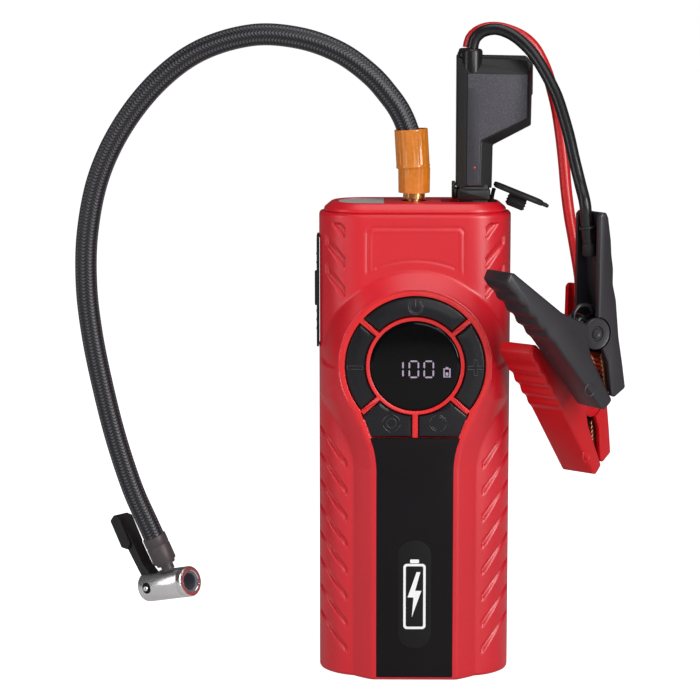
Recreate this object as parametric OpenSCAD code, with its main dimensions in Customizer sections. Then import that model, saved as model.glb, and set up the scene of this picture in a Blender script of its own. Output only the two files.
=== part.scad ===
// Jump starter pack with a built-in air pump: a hard two-shell housing that stands on its base,
// a round keypad and display, an air hose with a lever chuck, and a plug-in lead module with two clamps.
// Frame: origin at the centre of the base, +Z up, the keypad faces -Y.

/* [Housing] */
// Width of the housing across its sides
body_w = 86; // [86:0.5:88]
// Depth of the housing without the raised console
body_d = 44; // [44:0.5:46]
// Height of the two shells, without the top cap
body_h = 210; // [209:0.5:211]
// Radius of the four upright corners
corner_r = 20; // [18:0.5:20]
// Thickness of the shell walls
wall = 2.5; // [2:0.1:2.5]
// How far the console stands in front of the housing
console_h = 6.4; // [6:0.1:6.4]

/* [Keypad] */
// Height of the centre of the dial above the base
dial_z = 143.4; // [142:0.2:145]
// Radius of the display lens
lens_r = 20; // [19:0.1:20]
// Inner radius of the red ring around the lens
ring_in = 20.2; // [20.2:0.1:20.4]
// Outer radius of the red ring around the lens
ring_out = 21.8; // [21.6:0.1:22]
// Outer radius of the key windows
key_r = 31.3; // [31:0.1:31.5]
// Width of the spokes between the keys
spoke_w = 2.2; // [2:0.1:2.6]
// Gap round each key
key_gap = 0.35; // [0.3:0.05:0.5]
// Travel of each key
key_travel = 0.6; // [0.3:0.1:0.6]

/* [Air hose] */
// Outer diameter of the braided hose
hose_d = 9.8; // [9:0.1:9.8]
// Radius of the threaded air outlet
outlet_r = 3.5; // [3.2:0.1:3.5]
// Radius of the opening in the chuck that takes the tyre valve
chuck_bore_r = 3.9; // [3.8:0.1:4]

/* [Leads and clamps] */
// Diameter of each lead
lead_d = 5.2; // [5:0.1:5.4]
// Thickness of a clamp arm across its two side walls
clamp_t = 18; // [17:0.5:18]
// Radius of a clamp pivot pin
pin_r = 2; // [1.8:0.1:2]

/* [Hidden] */
$fn = 64;
hw = body_w/2;
hd = body_d/2;
fy = -(hd+console_h);          // front face of the console
fit = 0.05;                    // radial running fit

red = [0.80,0.05,0.08];
dark = [0.09,0.09,0.10];

// ---------- plan shapes ----------
module rr(w,d,r) {
  square([w-2*r,d],center=true);
  square([w,d-2*r],center=true);
  for (x=[-1,1], y=[-1,1]) translate([x*(w/2-r),y*(d/2-r)]) circle(r);
}
// a plan shape in X and Z, given depth along Y from y0 to y1
module slab(y0,y1) translate([0,y1,0]) rotate([90,0,0]) linear_extrude(y1-y0) children();
// a disc facing the viewer
module disc(x,z,r,y0,y1) translate([x,y0,z]) rotate([-90,0,0]) cylinder(r=r,h=y1-y0);

// outline of everything black on the front: dial windows and panel
neck = [[24.2,dial_z-20.6],[20.4,dial_z-31.4],[18.2,dial_z-38],[17.2,dial_z-45],[17.2,1.4]];
module strip(g=0) polygon(concat([for (p=neck) [p[0]-g,p[1]]],[for (i=[4:-1:0]) [-(neck[i][0]-g),neck[i][1]]]));

// ---------- housing ----------
module housing_solid() {
  linear_extrude(body_h) rr(body_w,body_d,corner_r);
  // console strip below the dial
  linear_extrude(dial_z) polygon([[-27.6,-hd+4],[-27.6,-hd-0.4],[-19.2,fy],[19.2,fy],[27.6,-hd-0.4],[27.6,-hd+4]]);
  // round boss of the dial, cut to the width of the housing
  intersection() {
    union() {
      translate([0,fy,dial_z]) rotate([-90,0,0]) cylinder(r1=34.2,r2=41.6,h=console_h,$fn=96);
      translate([0,-hd,dial_z]) rotate([-90,0,0]) cylinder(r=41.6,h=16,$fn=96);
    }
    linear_extrude(body_h) polygon([[-hw,-8],[-34.6,fy-0.01],[34.6,fy-0.01],[hw,-8],[hw-4,-2],[-hw+4,-2]]);
  }
}
module housing_cavity() {
  translate([0,0,wall]) linear_extrude(body_h-wall-3) rr(body_w-2*wall,body_d-2*wall,corner_r-wall);
  translate([0,0,wall+1]) linear_extrude(dial_z-10) polygon([[-24,-hd+wall],[-24,-hd+1.2],[-17.5,fy+2.8],[17.5,fy+2.8],[24,-hd+1.2],[24,-hd+wall]]);
  disc(0,dial_z,32.4,fy+2.8,-hd+wall+1);
}
// slanted grip grooves, cut one millimetre into the rounded corners
module grip_grooves(side) {
  difference() {
    for (k=[0:7]) translate([side*37,-hd+8,dial_z-39.6-12.2*k]) rotate([0,side*50,0]) cube([17,40,2.2],center=true);
    translate([0,0,-1]) linear_extrude(body_h) rr(body_w-2,body_d-2,corner_r-1);
    translate([-27.5,-50,-1]) cube([55,60,body_h]);
    translate([-50,0,-1]) cube([100,60,body_h]);
  }
  difference() {
    for (k=[0:2]) translate([side*36.2,-hd+8,200-13.2*k]) rotate([0,side*50,0]) cube([k==0?9:14,40,2.4],center=true);
    translate([0,0,-1]) linear_extrude(body_h) rr(body_w-2,body_d-2,corner_r-1);
    translate([-31,-50,-1]) cube([62,60,body_h]);
    translate([-50,0,-1]) cube([100,60,body_h]);
  }
}
screw_x = 32.5;
screw_z = [14,186];
side_z = [150,198];            // side port opening
module side_opening() translate([-hw-3,-6,side_z[0]]) cube([8,12,side_z[1]-side_z[0]]);

module front_shell() color(red) {
  difference() {
    union() {
      difference() {
        housing_solid();
        housing_cavity();
        translate([-60,0,-1]) cube([120,60,body_h+2]);
        // open top edge under the cap
        translate([0,0,body_h-3.2]) linear_extrude(4) rr(body_w-5,body_d-5,corner_r-2.5);
        // key windows and panel recess
        disc(0,dial_z,key_r,fy-1,fy+4);
        intersection() {
          slab(fy-1,fy+4) strip();
          translate([-40,fy-2,dial_z-32.2]) cube([80,10,40]);
        }
        slab(fy-1,fy+1.3) strip();
      }
      // ring and spokes between the keys
      difference() {
        disc(0,dial_z,ring_out,fy,fy+2.8);
        disc(0,dial_z,ring_in,fy-1,fy+4);
      }
      for (a=[40.2,139.8,221.7,318.3]) translate([0,0,dial_z]) rotate([0,-a,0])
        translate([ring_out-0.4,fy,-spoke_w/2]) cube([key_r-ring_out+1.4,2.8,spoke_w]);
      translate([-1.2,fy,dial_z-32.4]) cube([2.4,2.8,32.4-ring_out+0.4]);
      // ledge under the lower keys that carries the panel
      translate([-23,fy+1.3,dial_z-33.6]) cube([46,1.5,1.4]);
      // screw bosses
      for (x=[-1,1], z=screw_z) intersection() { translate([x*screw_x,-20,z]) rotate([-90,0,0]) cylinder(r=3.4,h=20); linear_extrude(body_h) rr(body_w-1,body_d-1,corner_r-0.5); }
    }
    for (x=[-1,1], z=screw_z) translate([x*screw_x,-9,z]) rotate([-90,0,0]) cylinder(r=1.5,h=10);
    side_opening();
    for (s=[-1,1]) grip_grooves(s);
    // shallow framed field above the dial
    slab(-hd-1,-hd+0.5) difference() {
      translate([0,194]) rr(43,21.5,2.5);
      translate([0,194]) rr(41.8,20.3,2);
    }
  }
}
module rear_shell() color(red) difference() {
  union() {
    difference() {
      linear_extrude(body_h) rr(body_w,body_d,corner_r);
      housing_cavity();
      translate([-60,-60,-1]) cube([120,60,body_h+2]);
      translate([0,0,body_h-3.2]) linear_extrude(4) rr(body_w-5,body_d-5,corner_r-2.5);
    }
    for (x=[-1,1], z=screw_z) intersection() {
      translate([x*screw_x,0,z]) rotate([-90,0,0]) cylinder(r=4.4,h=30);
      linear_extrude(body_h) rr(body_w-1,body_d-1,corner_r-0.5);
    }
  }
  for (x=[-1,1], z=screw_z) {
    translate([x*screw_x,-1,z]) rotate([-90,0,0]) cylinder(r=1.6,h=20);
    translate([x*screw_x,8,z]) rotate([-90,0,0]) cylinder(r=3,h=20);
  }
  side_opening();
  // vent slots for the pump
  for (k=[0:5]) translate([-14,hd-5,150+5*k]) cube([28,8,2]);
}
module case_screws() color([0.5,0.5,0.52]) for (x=[-1,1], z=screw_z) translate([x*screw_x,0,z]) rotate([-90,0,0]) difference() {
  union() {
    translate([0,0,-8.5]) cylinder(r=1.5,h=17);
    translate([0,0,8]) cylinder(r=2.8,h=2);
  }
  translate([0,0,9]) cylinder(r=1.1,h=2,$fn=6);
}
cap_z = body_h+4.4;
module top_cap() color(red) difference() {
  union() {
    translate([0,0,body_h-3]) linear_extrude(3.4) rr(body_w-5.2,body_d-5.2,corner_r-2.6);
    hull() {
      translate([0,0,body_h+0.3]) linear_extrude(0.1) rr(body_w-5.2,body_d-5.2,corner_r-2.6,$fn=40);
      translate([0,0,body_h+0.9]) linear_extrude(0.1) rr(body_w-4.4,body_d-4.4,corner_r-2.2,$fn=40);
      translate([0,0,body_h+1.8]) linear_extrude(0.1) rr(body_w-5.2,body_d-5.2,corner_r-2.6,$fn=40);
      translate([0,0,cap_z-0.1]) linear_extrude(0.1) rr(body_w-12,body_d-10,corner_r-6,$fn=40);
    }
  }
  // hollow underside
  translate([0,0,body_h-4]) linear_extrude(5.4) rr(body_w-10,body_d-10,corner_r-6);
  // outlet well, socket window, torch window
  translate([-0.4,0,body_h-4]) cylinder(r=5.8,h=12);
  translate([11.6,-8.2,body_h-4]) cube([24.8,16.4,12]);
  translate([0,0,body_h-4]) linear_extrude(12) difference() { rr(body_w-17,body_d-15,corner_r-8.5); translate([-13.6,-30]) square([80,60]); }
}
module torch_lens() color([0.75,0.74,0.72]) translate([0,0,cap_z-2.4]) linear_extrude(2.1) difference() {
  rr(body_w-17.4,body_d-15.4,corner_r-8.7); translate([-13.8,-30]) square([80,60]); }
module torch_board() color("green") {
  translate([-33,-10,cap_z-6.4]) cube([19,20,1.2]);
  for (x=[-29,-23,-17], y=[-5,5]) translate([x-1.4,y-1.4,cap_z-5.2]) cube([2.8,2.8,0.9]);
}

// ---------- front ----------
module front_panel() color(dark) slab(fy+0.25,fy+1.3) intersection() {
  strip(0.15);
  translate([-30,1.6]) square([60,dial_z-32.6-1.6]);
}
module panel_badge() color([0.14,0.14,0.15]) slab(fy+0.05,fy+0.25) {
  translate([0,39.8]) rr(15,49.6,7.4);
}
module display_lens() color([0.03,0.03,0.04]) disc(0,dial_z,lens_r,fy+0.3,fy+2.2);
module display_board() color([0.12,0.12,0.13]) {
  disc(0,dial_z,lens_r-0.6,fy+2.6,fy+4);
  translate([-9,fy+2.4,dial_z-5]) cube([20,0.2,9]);
}
module sector(a0,a1,r0,r1) {
  n = 12;
  polygon(concat([for (i=[0:n]) let(a=a0+(a1-a0)*i/n) [r0*cos(a),r0*sin(a)]],[for (i=[n:-1:0]) let(a=a0+(a1-a0)*i/n) [r1*cos(a),r1*sin(a)]]));
}
// one key: the ring sector between two spokes, clear of both by key_gap
module key_plan(a0,a1) difference() {
  translate([0,dial_z]) sector(a0,a1,ring_out+key_gap,key_r-key_gap);
  for (a=[a0,a1]) translate([0,dial_z]) rotate(a) translate([0,-spoke_w/2-key_gap]) square([50,spoke_w+2*key_gap]);
}
module key_stem(x,z) translate([x,fy+2,z]) rotate([-90,0,0]) cylinder(r=2,h=3.7);
module power_button() color(dark) { slab(fy-0.1,fy+2.2) key_plan(40.2,139.8); key_stem(0,dial_z+26.4); }
module minus_button() color(dark) { slab(fy-0.1,fy+2.2) key_plan(139.8,221.7); key_stem(-26.4,dial_z); }
module plus_button() color(dark) { slab(fy-0.1,fy+2.2) key_plan(-41.7,40.2); key_stem(26.4,dial_z); }
module low_key(s) slab(fy-0.1,fy+2.2) difference() {
  polygon([[s*(1.2+key_gap),dial_z-ring_out+3],[s*(1.2+key_gap),dial_z-32.2+key_gap],[s*(20.1-key_gap),dial_z-32.2+key_gap],
    [s*(23.9-key_gap),dial_z-21.4],[s*(18.6),dial_z-15]]);
  translate([0,dial_z]) circle(ring_out+key_gap);
  translate([0,dial_z]) rotate(s>0?-41.7:221.7) translate([0,-spoke_w/2-key_gap]) square([50,spoke_w+2*key_gap]);
  translate([0,dial_z]) rotate(s>0?-41.7:221.7) translate([0,s>0?0:-30]) square([50,30]);
}
module mode_button() color(dark) { low_key(-1); key_stem(-10.5,dial_z-27.4); }
module lamp_button() color(dark) { low_key(1); key_stem(10.5,dial_z-27.4); }
board_y = fy+7.4;
module control_board() color([0.05,0.35,0.18]) {
  difference() {
    slab(board_y,board_y+1.4) union() { translate([0,dial_z]) circle(31.5); translate([-16,dial_z-36]) square([32,30]); }
    disc(0,dial_z,8,board_y-1,board_y+3);
  }
  for (p=[[0,26.4],[-26.4,0],[26.4,0],[-10.5,-27.4],[10.5,-27.4]]) disc(p[0],dial_z+p[1],2.6,board_y-1,board_y);
}

// ---------- sockets ----------
module jump_socket() color([0.16,0.16,0.17]) difference() {
  translate([12.4,-7.8,195]) cube([23.2,15.6,11]);
  for (x=[21.5,31]) translate([x,0,198]) cylinder(r=2.9,h=10);
}
module usb_ports() color([0.1,0.1,0.11]) {
  difference() {
    translate([-39.5,-7.4,side_z[0]-2]) cube([1.6,14.8,side_z[1]-side_z[0]+4]);
    for (z=[156,172]) translate([-42,-3.2,z]) cube([4,6.4,13]);
    translate([-42,0,192]) rotate([0,90,0]) cylinder(r=2.8,h=4);
  }
  translate([-37.9,-7.4,side_z[0]-2]) cube([0.9,14.8,side_z[1]-side_z[0]+4]);
}
module side_port_cover() color(dark) {
  translate([-hw-1.1,-7.4,side_z[0]-1.4]) cube([0.9,14.8,side_z[1]-side_z[0]+2.8]);
  translate([-hw-1.9,-7.4,168]) cube([1,4,15]);
}

// ---------- power pack ----------
module cell(y) translate([-27.5,y,12]) cube([55,8.6,92]);
module battery_cell_front() color([0.3,0.32,0.36]) cell(-13);
module battery_cell_middle() color([0.3,0.32,0.36]) cell(-4.1);
module battery_cell_rear() color([0.3,0.32,0.36]) cell(4.8);

// ---------- air pump ----------
gear_x = -2;
pinion_x = -17.6;
module pump_motor() color([0.6,0.6,0.62]) translate([pinion_x,0,0]) difference() {
  union() {
    translate([0,0,122]) cylinder(r=12,h=34);
    translate([0,0,156]) cylinder(r=3,h=1.6);
  }
  translate([0,0,150]) cylinder(r=1+fit,h=10);
}
module gear_teeth(n,r0,r1,h) for (i=[0:n-1]) rotate(i*360/n) translate([0,-0.5,0]) cube([r1,1,h]);
module motor_pinion() color([0.7,0.7,0.7]) translate([pinion_x,0,0]) {
  translate([0,0,151]) cylinder(r=1,h=14);
  translate([0,0,160]) { cylinder(r=2.5,h=4.6); gear_teeth(8,2,3.2,4.6); }
}
module crank_gear() color([0.85,0.85,0.8]) translate([gear_x,0,0]) difference() {
  union() {
    translate([0,0,160]) { cylinder(r=11.3,h=4.6); gear_teeth(32,10,12,4.6); }
    translate([0,-4,164.6]) cylinder(r=1.5,h=1.2);
  }
  translate([0,0,159]) cylinder(r=1.5+fit,h=4);
}
module piston_rod() color([0.75,0.75,0.78]) {
  difference() {
    union() {
      translate([gear_x,0,166.3]) cylinder(r=4,h=3.4);
      translate([gear_x,-2,166.3]) cube([18,4,3.4]);
      translate([14.5,0,168]) rotate([0,90,0]) cylinder(r=6.5,h=5);
    }
    translate([gear_x,0,166]) cylinder(r=2,h=5);
  }
}
module pump_cylinder() color([0.55,0.55,0.57]) difference() {
  union() {
    translate([11,-9,159]) cube([24,18,18]);
    translate([-7,-9,156]) cube([42,18,3]);
    translate([gear_x,0,159]) cylinder(r=1.5,h=3.6);
    translate([18,0,177]) cylinder(r=3,h=4);
  }
  translate([9,0,168]) rotate([0,90,0]) cylinder(r=6.5+fit,h=20);
  translate([9,-2.4,160]) cube([2.2,4.8,12]);
  translate([18,0,170]) cylinder(r=1.5,h=20);
}
module air_tube() color([0.9,0.9,0.92]) difference() {
  union() {
    translate([18,0,181]) cylinder(r=2.4,h=9);
    translate([18,0,190]) sphere(r=2.4);
    translate([-0.4,0,190]) rotate([0,90,0]) cylinder(r=2.4,h=18.4);
    translate([-0.4,0,190]) sphere(r=2.4);
    translate([-0.4,0,190]) cylinder(r=2.4,h=13);
  }
  translate([18,0,180]) cylinder(r=1.3,h=10);
  translate([-0.4,0,190]) rotate([0,90,0]) cylinder(r=1.3,h=18.4);
  translate([-0.4,0,190]) cylinder(r=1.3,h=14);
}
module air_outlet() color([0.82,0.66,0.3]) translate([-0.4,0,0]) difference() {
  union() {
    translate([0,0,203]) cylinder(r=5,h=9);
    translate([0,0,212]) cylinder(r=outlet_r,h=6.4);
  }
  translate([0,0,202]) cylinder(r=1.3,h=20);
}

// ---------- flap ----------
flap_p = [35.6,0,220.8];
module flap_strap() color(dark) {
  translate([33.8,-2.5,body_h+1.4]) cube([2.4,5,2.6]);
  translate([34.2,-2.5,213.6]) rotate([0,8,0]) cube([1.3,5,6]);
}
module port_flap() color(dark) translate(flap_p) rotate([0,22,0]) {
  difference() {
    linear_extrude(2) translate([11.6,0]) rr(23.2,15.4,5);
    translate([20.4,-3,1]) cube([4,6,2]);
  }
  translate([22.6,-4,0.2]) cube([3.4,8,1.2]);
  translate([8,-3.8,-5.2]) cube([7.6,7.6,5.3]);
}

// ---------- hose ----------
module hose_coupling() color([0.85,0.68,0.3]) translate([-0.4,0,215]) difference() {
  union() {
    cylinder(r=4.6,h=6.4);
    translate([0,0,0.4]) linear_extrude(5.6) polygon([for (i=[0:59]) let(r=i%2==0?4.95:4.5) [r*cos(6*i),r*sin(6*i)]]);
  }
  translate([0,0,-1]) cylinder(r=outlet_r+fit,h=6.4);
  translate([0,0,5]) cylinder(r=2.9,h=3);
}
module hose_barb() color([0.82,0.66,0.3]) translate([-0.4,0,0]) difference() {
  union() {
    translate([0,0,218.7]) cylinder(r=outlet_r-0.1,h=1.4);
    translate([0,0,218.7]) cylinder(r=2.6,h=4);
    translate([0,0,221.7]) cylinder(r=4.9,h=3.3);
  }
  translate([0,0,218]) cylinder(r=1.3,h=8);
}
module hose_sleeve() color([0.93,0.48,0.10]) translate([-0.4,0,222]) difference() {
  union() {
    translate([0,0,-4]) cylinder(r=7.05,h=12);
    rotate([0,-3.5,0]) translate([0,0,7]) cylinder(r=7.6,h=17.4);
  }
  translate([0,0,-5]) cylinder(r=6.1,h=4.9);
  translate([0,0,-2]) cylinder(r=4.95,h=5.5);
  translate([0,0,3]) cylinder(r=6.1,h=5);
  rotate([0,-3.5,0]) translate([0,0,6.4]) cylinder(r=6.9,h=30);
}
hose_pts = [[-0.4,0,225],[-0.4,0,229],[-0.8,0,234],[-1.9,0,241],[-3.6,0,247],[-6.6,0,253.8],[-11.2,0,260.6],[-20,0,270.5],[-34,0,280.5],[-52,0,286.8],[-73,0,288],
  [-96,0,281.2],[-115,0,267.4],[-131,0,247.6],[-142,0,225],[-147.4,0,200],[-148.3,0,176],[-146,0,153],[-141.5,0,129],[-135.8,0,105],[-128.6,0,82],[-121.4,0,65],[-119,0,59.4]];
black_pts = [[25.2,-3.2,282.4],[26.2,-3.2,286.4],[29.6,-3.5,289.6],[35,-4.2,290.8],[40,-5.7,289.6],[44.3,-7.7,287.2],[48.8,-10.1,283.3],[52.7,-12.9,278.6],[56.2,-16.2,272.9],[59.3,-19.4,267],[62.2,-22.8,260.2],[66,-28.9,247],[68.5,-34,235.4],[70.9,-38.1,225.2],[72.7,-42.9,217.1],[73.6,-42.3,209.1],[74.9,-41.6,199.1]];
red_pts = [[23.6,3.2,282.4],[24.6,3.2,286.4],[27.2,3.2,289.2],[31.4,3,291],[37,3,291.2],[43,2.9,289.6],[48.6,2.8,286.8],[53,2.5,282.6],[56.1,2.2,277.4],[58.9,1.8,271],[61.3,1.2,263.1],[63.4,0.4,254.1],[65.1,-0.5,243.2],[66.5,-1.4,231.3],[67.6,-2.6,219.4],[69.2,-3.5,207.6],[71.6,-4,194.6],[74,-4.1,180.6],[74.4,-3.5,172.6],[75.2,-2.7,162.5]];
function unit(v) = v/norm(v);
function tang(P,i) = i==0 ? unit(P[1]-P[0]) : i==len(P)-1 ? unit(P[i]-P[i-1]) : unit(unit(P[i+1]-P[i])+unit(P[i]-P[i-1]));
function ring(c,t,r,n) = let(u=unit(cross([0,1,0],t)), v=cross(t,u)) [for (k=[0:n-1]) c+r*(cos(360*k/n)*u+sin(360*k/n)*v)];
module tube(P,r,n) {
  m = len(P);
  polyhedron(points=[for (i=[0:m-1]) each ring(P[i],tang(P,i),r,n)],
    faces=concat([[for (k=[0:n-1]) k]],[[for (k=[n-1:-1:0]) (m-1)*n+k]],
      [for (i=[0:m-2], k=[0:n-1]) [i*n+k,(i+1)*n+k,(i+1)*n+(k+1)%n]],
      [for (i=[0:m-2], k=[0:n-1]) [i*n+k,(i+1)*n+(k+1)%n,i*n+(k+1)%n]]));
}
module air_hose() color([0.07,0.07,0.08]) tube(hose_pts,hose_d/2,10);
// the end of the hose, pointing down to the chuck
module hose_end() translate([-119,0,59.4]) rotate([0,-23.2,0]) rotate([180,0,0]) children();
module hose_ferrule() color([0.3,0.27,0.28]) hose_end() difference() {
  union() {
    translate([0,0,0]) cylinder(r=5.5,h=12.4);
    translate([0,0,12.4]) cylinder(r=4.4,h=1.2);
    cylinder(r=3,h=16.6);
  }
  translate([0,0,-1]) cylinder(r=1.6,h=20);
}
// ---------- chuck: X runs along its body to the mouth ----------
module chuck_frame() translate([-112.4,0,37.4]) rotate([0,0,-38]) rotate([0,-14,0]) children();
module chuck_body() color([0.75,0.75,0.74]) difference() {
  chuck_frame() difference() {
    union() {
      translate([-8,0,0]) rotate([0,90,0]) cylinder(r=7,h=22);
      intersection() {
        translate([-14.5,0,0]) rotate([0,90,0]) cylinder(r=7,h=8);
        translate([-7.5,0,0]) rotate([90,0,0]) cylinder(r=7,h=20,center=true);
      }
    }
    translate([4,0,0]) rotate([0,90,0]) cylinder(r=5.2,h=12);
    translate([-4,0,0]) rotate([0,90,0]) cylinder(r=1.5,h=10);
    // slot and cross hole for the lever
    translate([-20,-3.6,-3.6]) cube([17,7.2,16]);
    translate([-8,0,0]) rotate([90,0,0]) cylinder(r=1.6,h=20,center=true);
  }
  hose_end() translate([0,0,9]) cylinder(r=3,h=10);
}
module chuck_seal() color([0.25,0.25,0.28]) chuck_frame() translate([4,0,0]) rotate([0,90,0]) difference() {
  cylinder(r=5.2,h=9.4);
  translate([0,0,1]) cylinder(r=chuck_bore_r,h=12);
}
module chuck_pin() color([0.8,0.8,0.8]) chuck_frame() translate([-8,0,0]) rotate([90,0,0]) {
  cylinder(r=1.6,h=17,center=true);
  translate([0,0,7]) cylinder(r=2.2,h=1.5);
}
module chuck_lever() color(dark) chuck_frame() difference() {
  translate([-8,0,0]) rotate([90,0,0]) union() {
    cylinder(r=3.3,h=6.4,center=true);
    linear_extrude(6.4,center=true) polygon([[-3.2,0],[-2.6,2],[-6,9],[-10.5,22],[-13.6,31],[-11.8,32.4],[-8,22.8],[-3.4,10.4],[0,3.2]]);
    linear_extrude(9,center=true) polygon([[-8.8,17],[-12.4,18.6],[-17.4,33],[-15,35],[-11.4,33.6],[-7.4,21]]);
  }
  translate([-8,0,0]) rotate([90,0,0]) cylinder(r=1.6+fit,h=30,center=true);
}

// ---------- lead module ----------
mod_pent = [[18.4,238],[18.4,278.4],[49.6,277.6],[51.8,275.4],[51.4,248.4],[34.6,240]];
mod_leg = [[18.4,220.4],[18.4,240],[34.6,242],[34.2,220.4]];
module mod_front_block() hull() {
  slab(-5,0) polygon(mod_pent);
  slab(-8.6,0) polygon([[22.6,240],[22.6,271.6],[49.8,271.2],[49.8,250],[34,241.6]]);
}
module mod_front_leg() hull() {
  slab(-5,0) polygon(mod_leg);
  slab(-8.6,0) polygon([[22.6,221.2],[22.6,244],[28.8,244],[28.8,221.2]]);
}
module module_front() color([0.17,0.17,0.19]) difference() {
  union() { mod_front_block(); mod_front_leg(); }
  slab(-5.4,1) polygon([[21,244],[21,275.4],[48.6,275],[48.6,250],[36,243.6],[31.6,243.6],[31.6,224],[21,224]]);
  translate([25.9,-9,231.4]) rotate([-90,0,0]) cylinder(r=0.6,h=5);
  translate([19.6,-7.4,219]) cube([13.2,14.8,3.5]);
  translate([24.4,0,270]) cylinder(r=5.1,h=12);
}
module module_rear() color([0.13,0.13,0.14]) difference() {
  union() {
    slab(0,8) polygon([[18.4,220.4],[18.4,279.4],[49.4,278.8],[52.4,276],[52.4,262],[51.4,260.6],[51.4,248.4],[34.6,239.6],[34.2,220.4]]);
    slab(8,9) polygon([[19.6,221.6],[19.6,278],[48.8,277.4],[50.8,275],[50,249.4],[33.4,240.4],[33,221.6]]);
  }
  slab(-1,6.6) polygon([[21,244],[21,275.4],[48.6,275],[48.6,250],[36,243.6],[31.6,243.6],[31.6,224],[21,224]]);
  translate([19.6,-7.4,219]) cube([13.2,14.8,3.5]);
  translate([24.4,0,270]) cylinder(r=5.1,h=12);
}
module module_gland() color([0.11,0.11,0.12]) translate([24.4,0,0]) {
  translate([0,0,272]) cylinder(r=5.1,h=7.5);
  translate([0,0,279.4]) intersection() {
    linear_extrude(3) rr(11.4,14,3);
    cylinder(r=7.2,h=3);
  }
}
module module_plug() color([0.1,0.08,0.08]) difference() {
  union() {
    translate([19.7,-7.3,206.2]) cube([13,14.6,16.3]);
    translate([18.9,-7.8,214.9]) cube([14.6,15.6,5.3]);
    translate([16.6,-4,215.4]) cube([2.5,8,4.8]);
    translate([16.6,-4,216]) cube([1.6,8,7]);
  }
  for (x=[21.5,31]) translate([x,0,205]) cylinder(r=2.6,h=12);
}
module module_contacts() color([0.85,0.7,0.35]) for (x=[21.5,31]) translate([x,0,199]) cylinder(r=2.6,h=18);
module module_board() color([0.05,0.35,0.18]) {
  translate([22,-1,249.4]) cube([24,1.6,20.6]);
  translate([25,-4.6,250.4]) cube([14,3.6,14]);
}

// ---------- leads ----------
module lead_black() color([0.08,0.08,0.09]) tube(black_pts,lead_d/2,8);
module lead_red() color([0.78,0.05,0.05]) tube(red_pts,lead_d/2,8);

// ---------- clamps: X and Z in the plane of the jaws, Y along the pivot pin ----------
ct = clamp_t/2;
module black_frame() translate([73.5,-42.4,161.1]) rotate([0,0,32]) children();
module red_frame() translate([73.3,-4.9,124.6]) rotate([0,0,50]) rotate([0,2,0]) children();
arm_out = [[0.5,10.6],[0.5,51],[2,52.4],[4.2,52.4],[5.4,50],[7,40],[7.4,34],[8.4,28],[8.4,21],[10.2,14],[12,-2.7],[14.1,-13.5],[16,-25],[10,-28.8],[8.2,-27.6],[6.2,-13],[3.2,-7]];
module side_plates(o) for (s=[-1,1]) translate([0,s*(ct-1.1),0]) rotate([90,0,0]) linear_extrude(2.2,center=true) polygon(o);
module clamp_arm() difference() {
  union() {
    side_plates(arm_out);
    // outer web
    rotate([90,0,0]) linear_extrude(clamp_t-2,center=true) polygon([[2.4,52.4],[4.2,52.4],[5.4,50],[7,40],[7.4,34],[8.4,28],[8.4,21],[10.2,14],[12,-2.7],[14.1,-13.5],[16,-25],[13.4,-26.6],[11.8,-13],[9.8,-2],[7.8,13.4],[6.2,20.4],[5.4,33],[4.8,40],[3.2,49]]);
    // lugs under the lever's hub discs
    for (s=[-1,1]) translate([0,s*(ct-3.6),0]) rotate([90,0,0]) linear_extrude(2.2,center=true) union() {
      circle(6); polygon([[0,-6],[11.4,-3.4],[9.6,8],[0,6]]);
    }
  }
  for (s=[-1,1]) translate([0,s*(ct-1.1),0]) rotate([90,0,0]) cylinder(r=7.3,h=2.6,center=true);
  rotate([90,0,0]) cylinder(r=pin_r,h=40,center=true);
}
lever_out = [[-4.6,4.4],[-18.4,10.4],[-43.6,29],[-46,29.4],[-48,25.6],[-42,17.6],[-37.4,12.8],[-31.4,7],[-25.6,1.6],[-21,-4.4],[3,-33.4],[5,-33.8],[9,-30],[-2.6,-10],[-4,-5]];
module clamp_lever() difference() {
  union() {
    side_plates(lever_out);
    for (s=[-1,1]) translate([0,s*(ct-1.1),0]) rotate([90,0,0]) cylinder(r=6.9,h=2.2,center=true);
    // outer web
    rotate([90,0,0]) linear_extrude(clamp_t-2,center=true) polygon([[-43.6,29],[-46,29.4],[-48,25.6],[-42,17.6],[-37.4,12.8],[-31.4,7],[-25.6,1.6],[-21,-4.4],[3,-33.4],[5,-33.8],[6.6,-32],[-18.4,-3.2],[-24,3.6],[-29.8,9],[-35.8,14.6],[-40.4,19.2],[-45,26]]);
  }
  rotate([90,0,0]) cylinder(r=pin_r+fit,h=40,center=true);
}
module clamp_pin() {
  rotate([90,0,0]) cylinder(r=pin_r,h=clamp_t,center=true);
}
module clamp_spring() rotate([90,0,0]) difference() {
  union() {
    for (i=[-3:3]) translate([0,0,i*1.2]) rotate_extrude() translate([4.1,0]) circle(0.62,$fn=16);
    translate([-4.1,0.4,3.6]) rotate([0,0,28]) rotate([0,-90,0]) cylinder(r=0.6,h=9);
    translate([4.6,-1,-3.6]) rotate([-90,0,0]) cylinder(r=0.6,h=12);
    linear_extrude(8.2,center=true) difference() { circle(4.2); circle(3.6); }
  }
}
// toothed copper liner along the inner edge of a jaw
module arm_jaw() rotate([90,0,0]) linear_extrude(11,center=true) polygon(concat(
  [[6.4,-9.4],[4.8,-9.4]],[for (i=[0:8]) each [[4.9+0.3*i,-10-2*i],[4.3+0.33*i,-11-2*i]]],[[8.2,-27.4],[9.2,-26.8],[7.6,-13]]));
module lever_jaw() rotate([90,0,0]) linear_extrude(11,center=true) polygon(concat(
  [[-4.4,-7.6],[-1.6,-8.6]],[for (i=[0:8]) each [[-0.2+0.72*i,-10-2*i],[1.2+0.66*i,-11-2*i]]],[[7,-28.6],[6.4,-30],[-3.8,-11.8]]));
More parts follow.
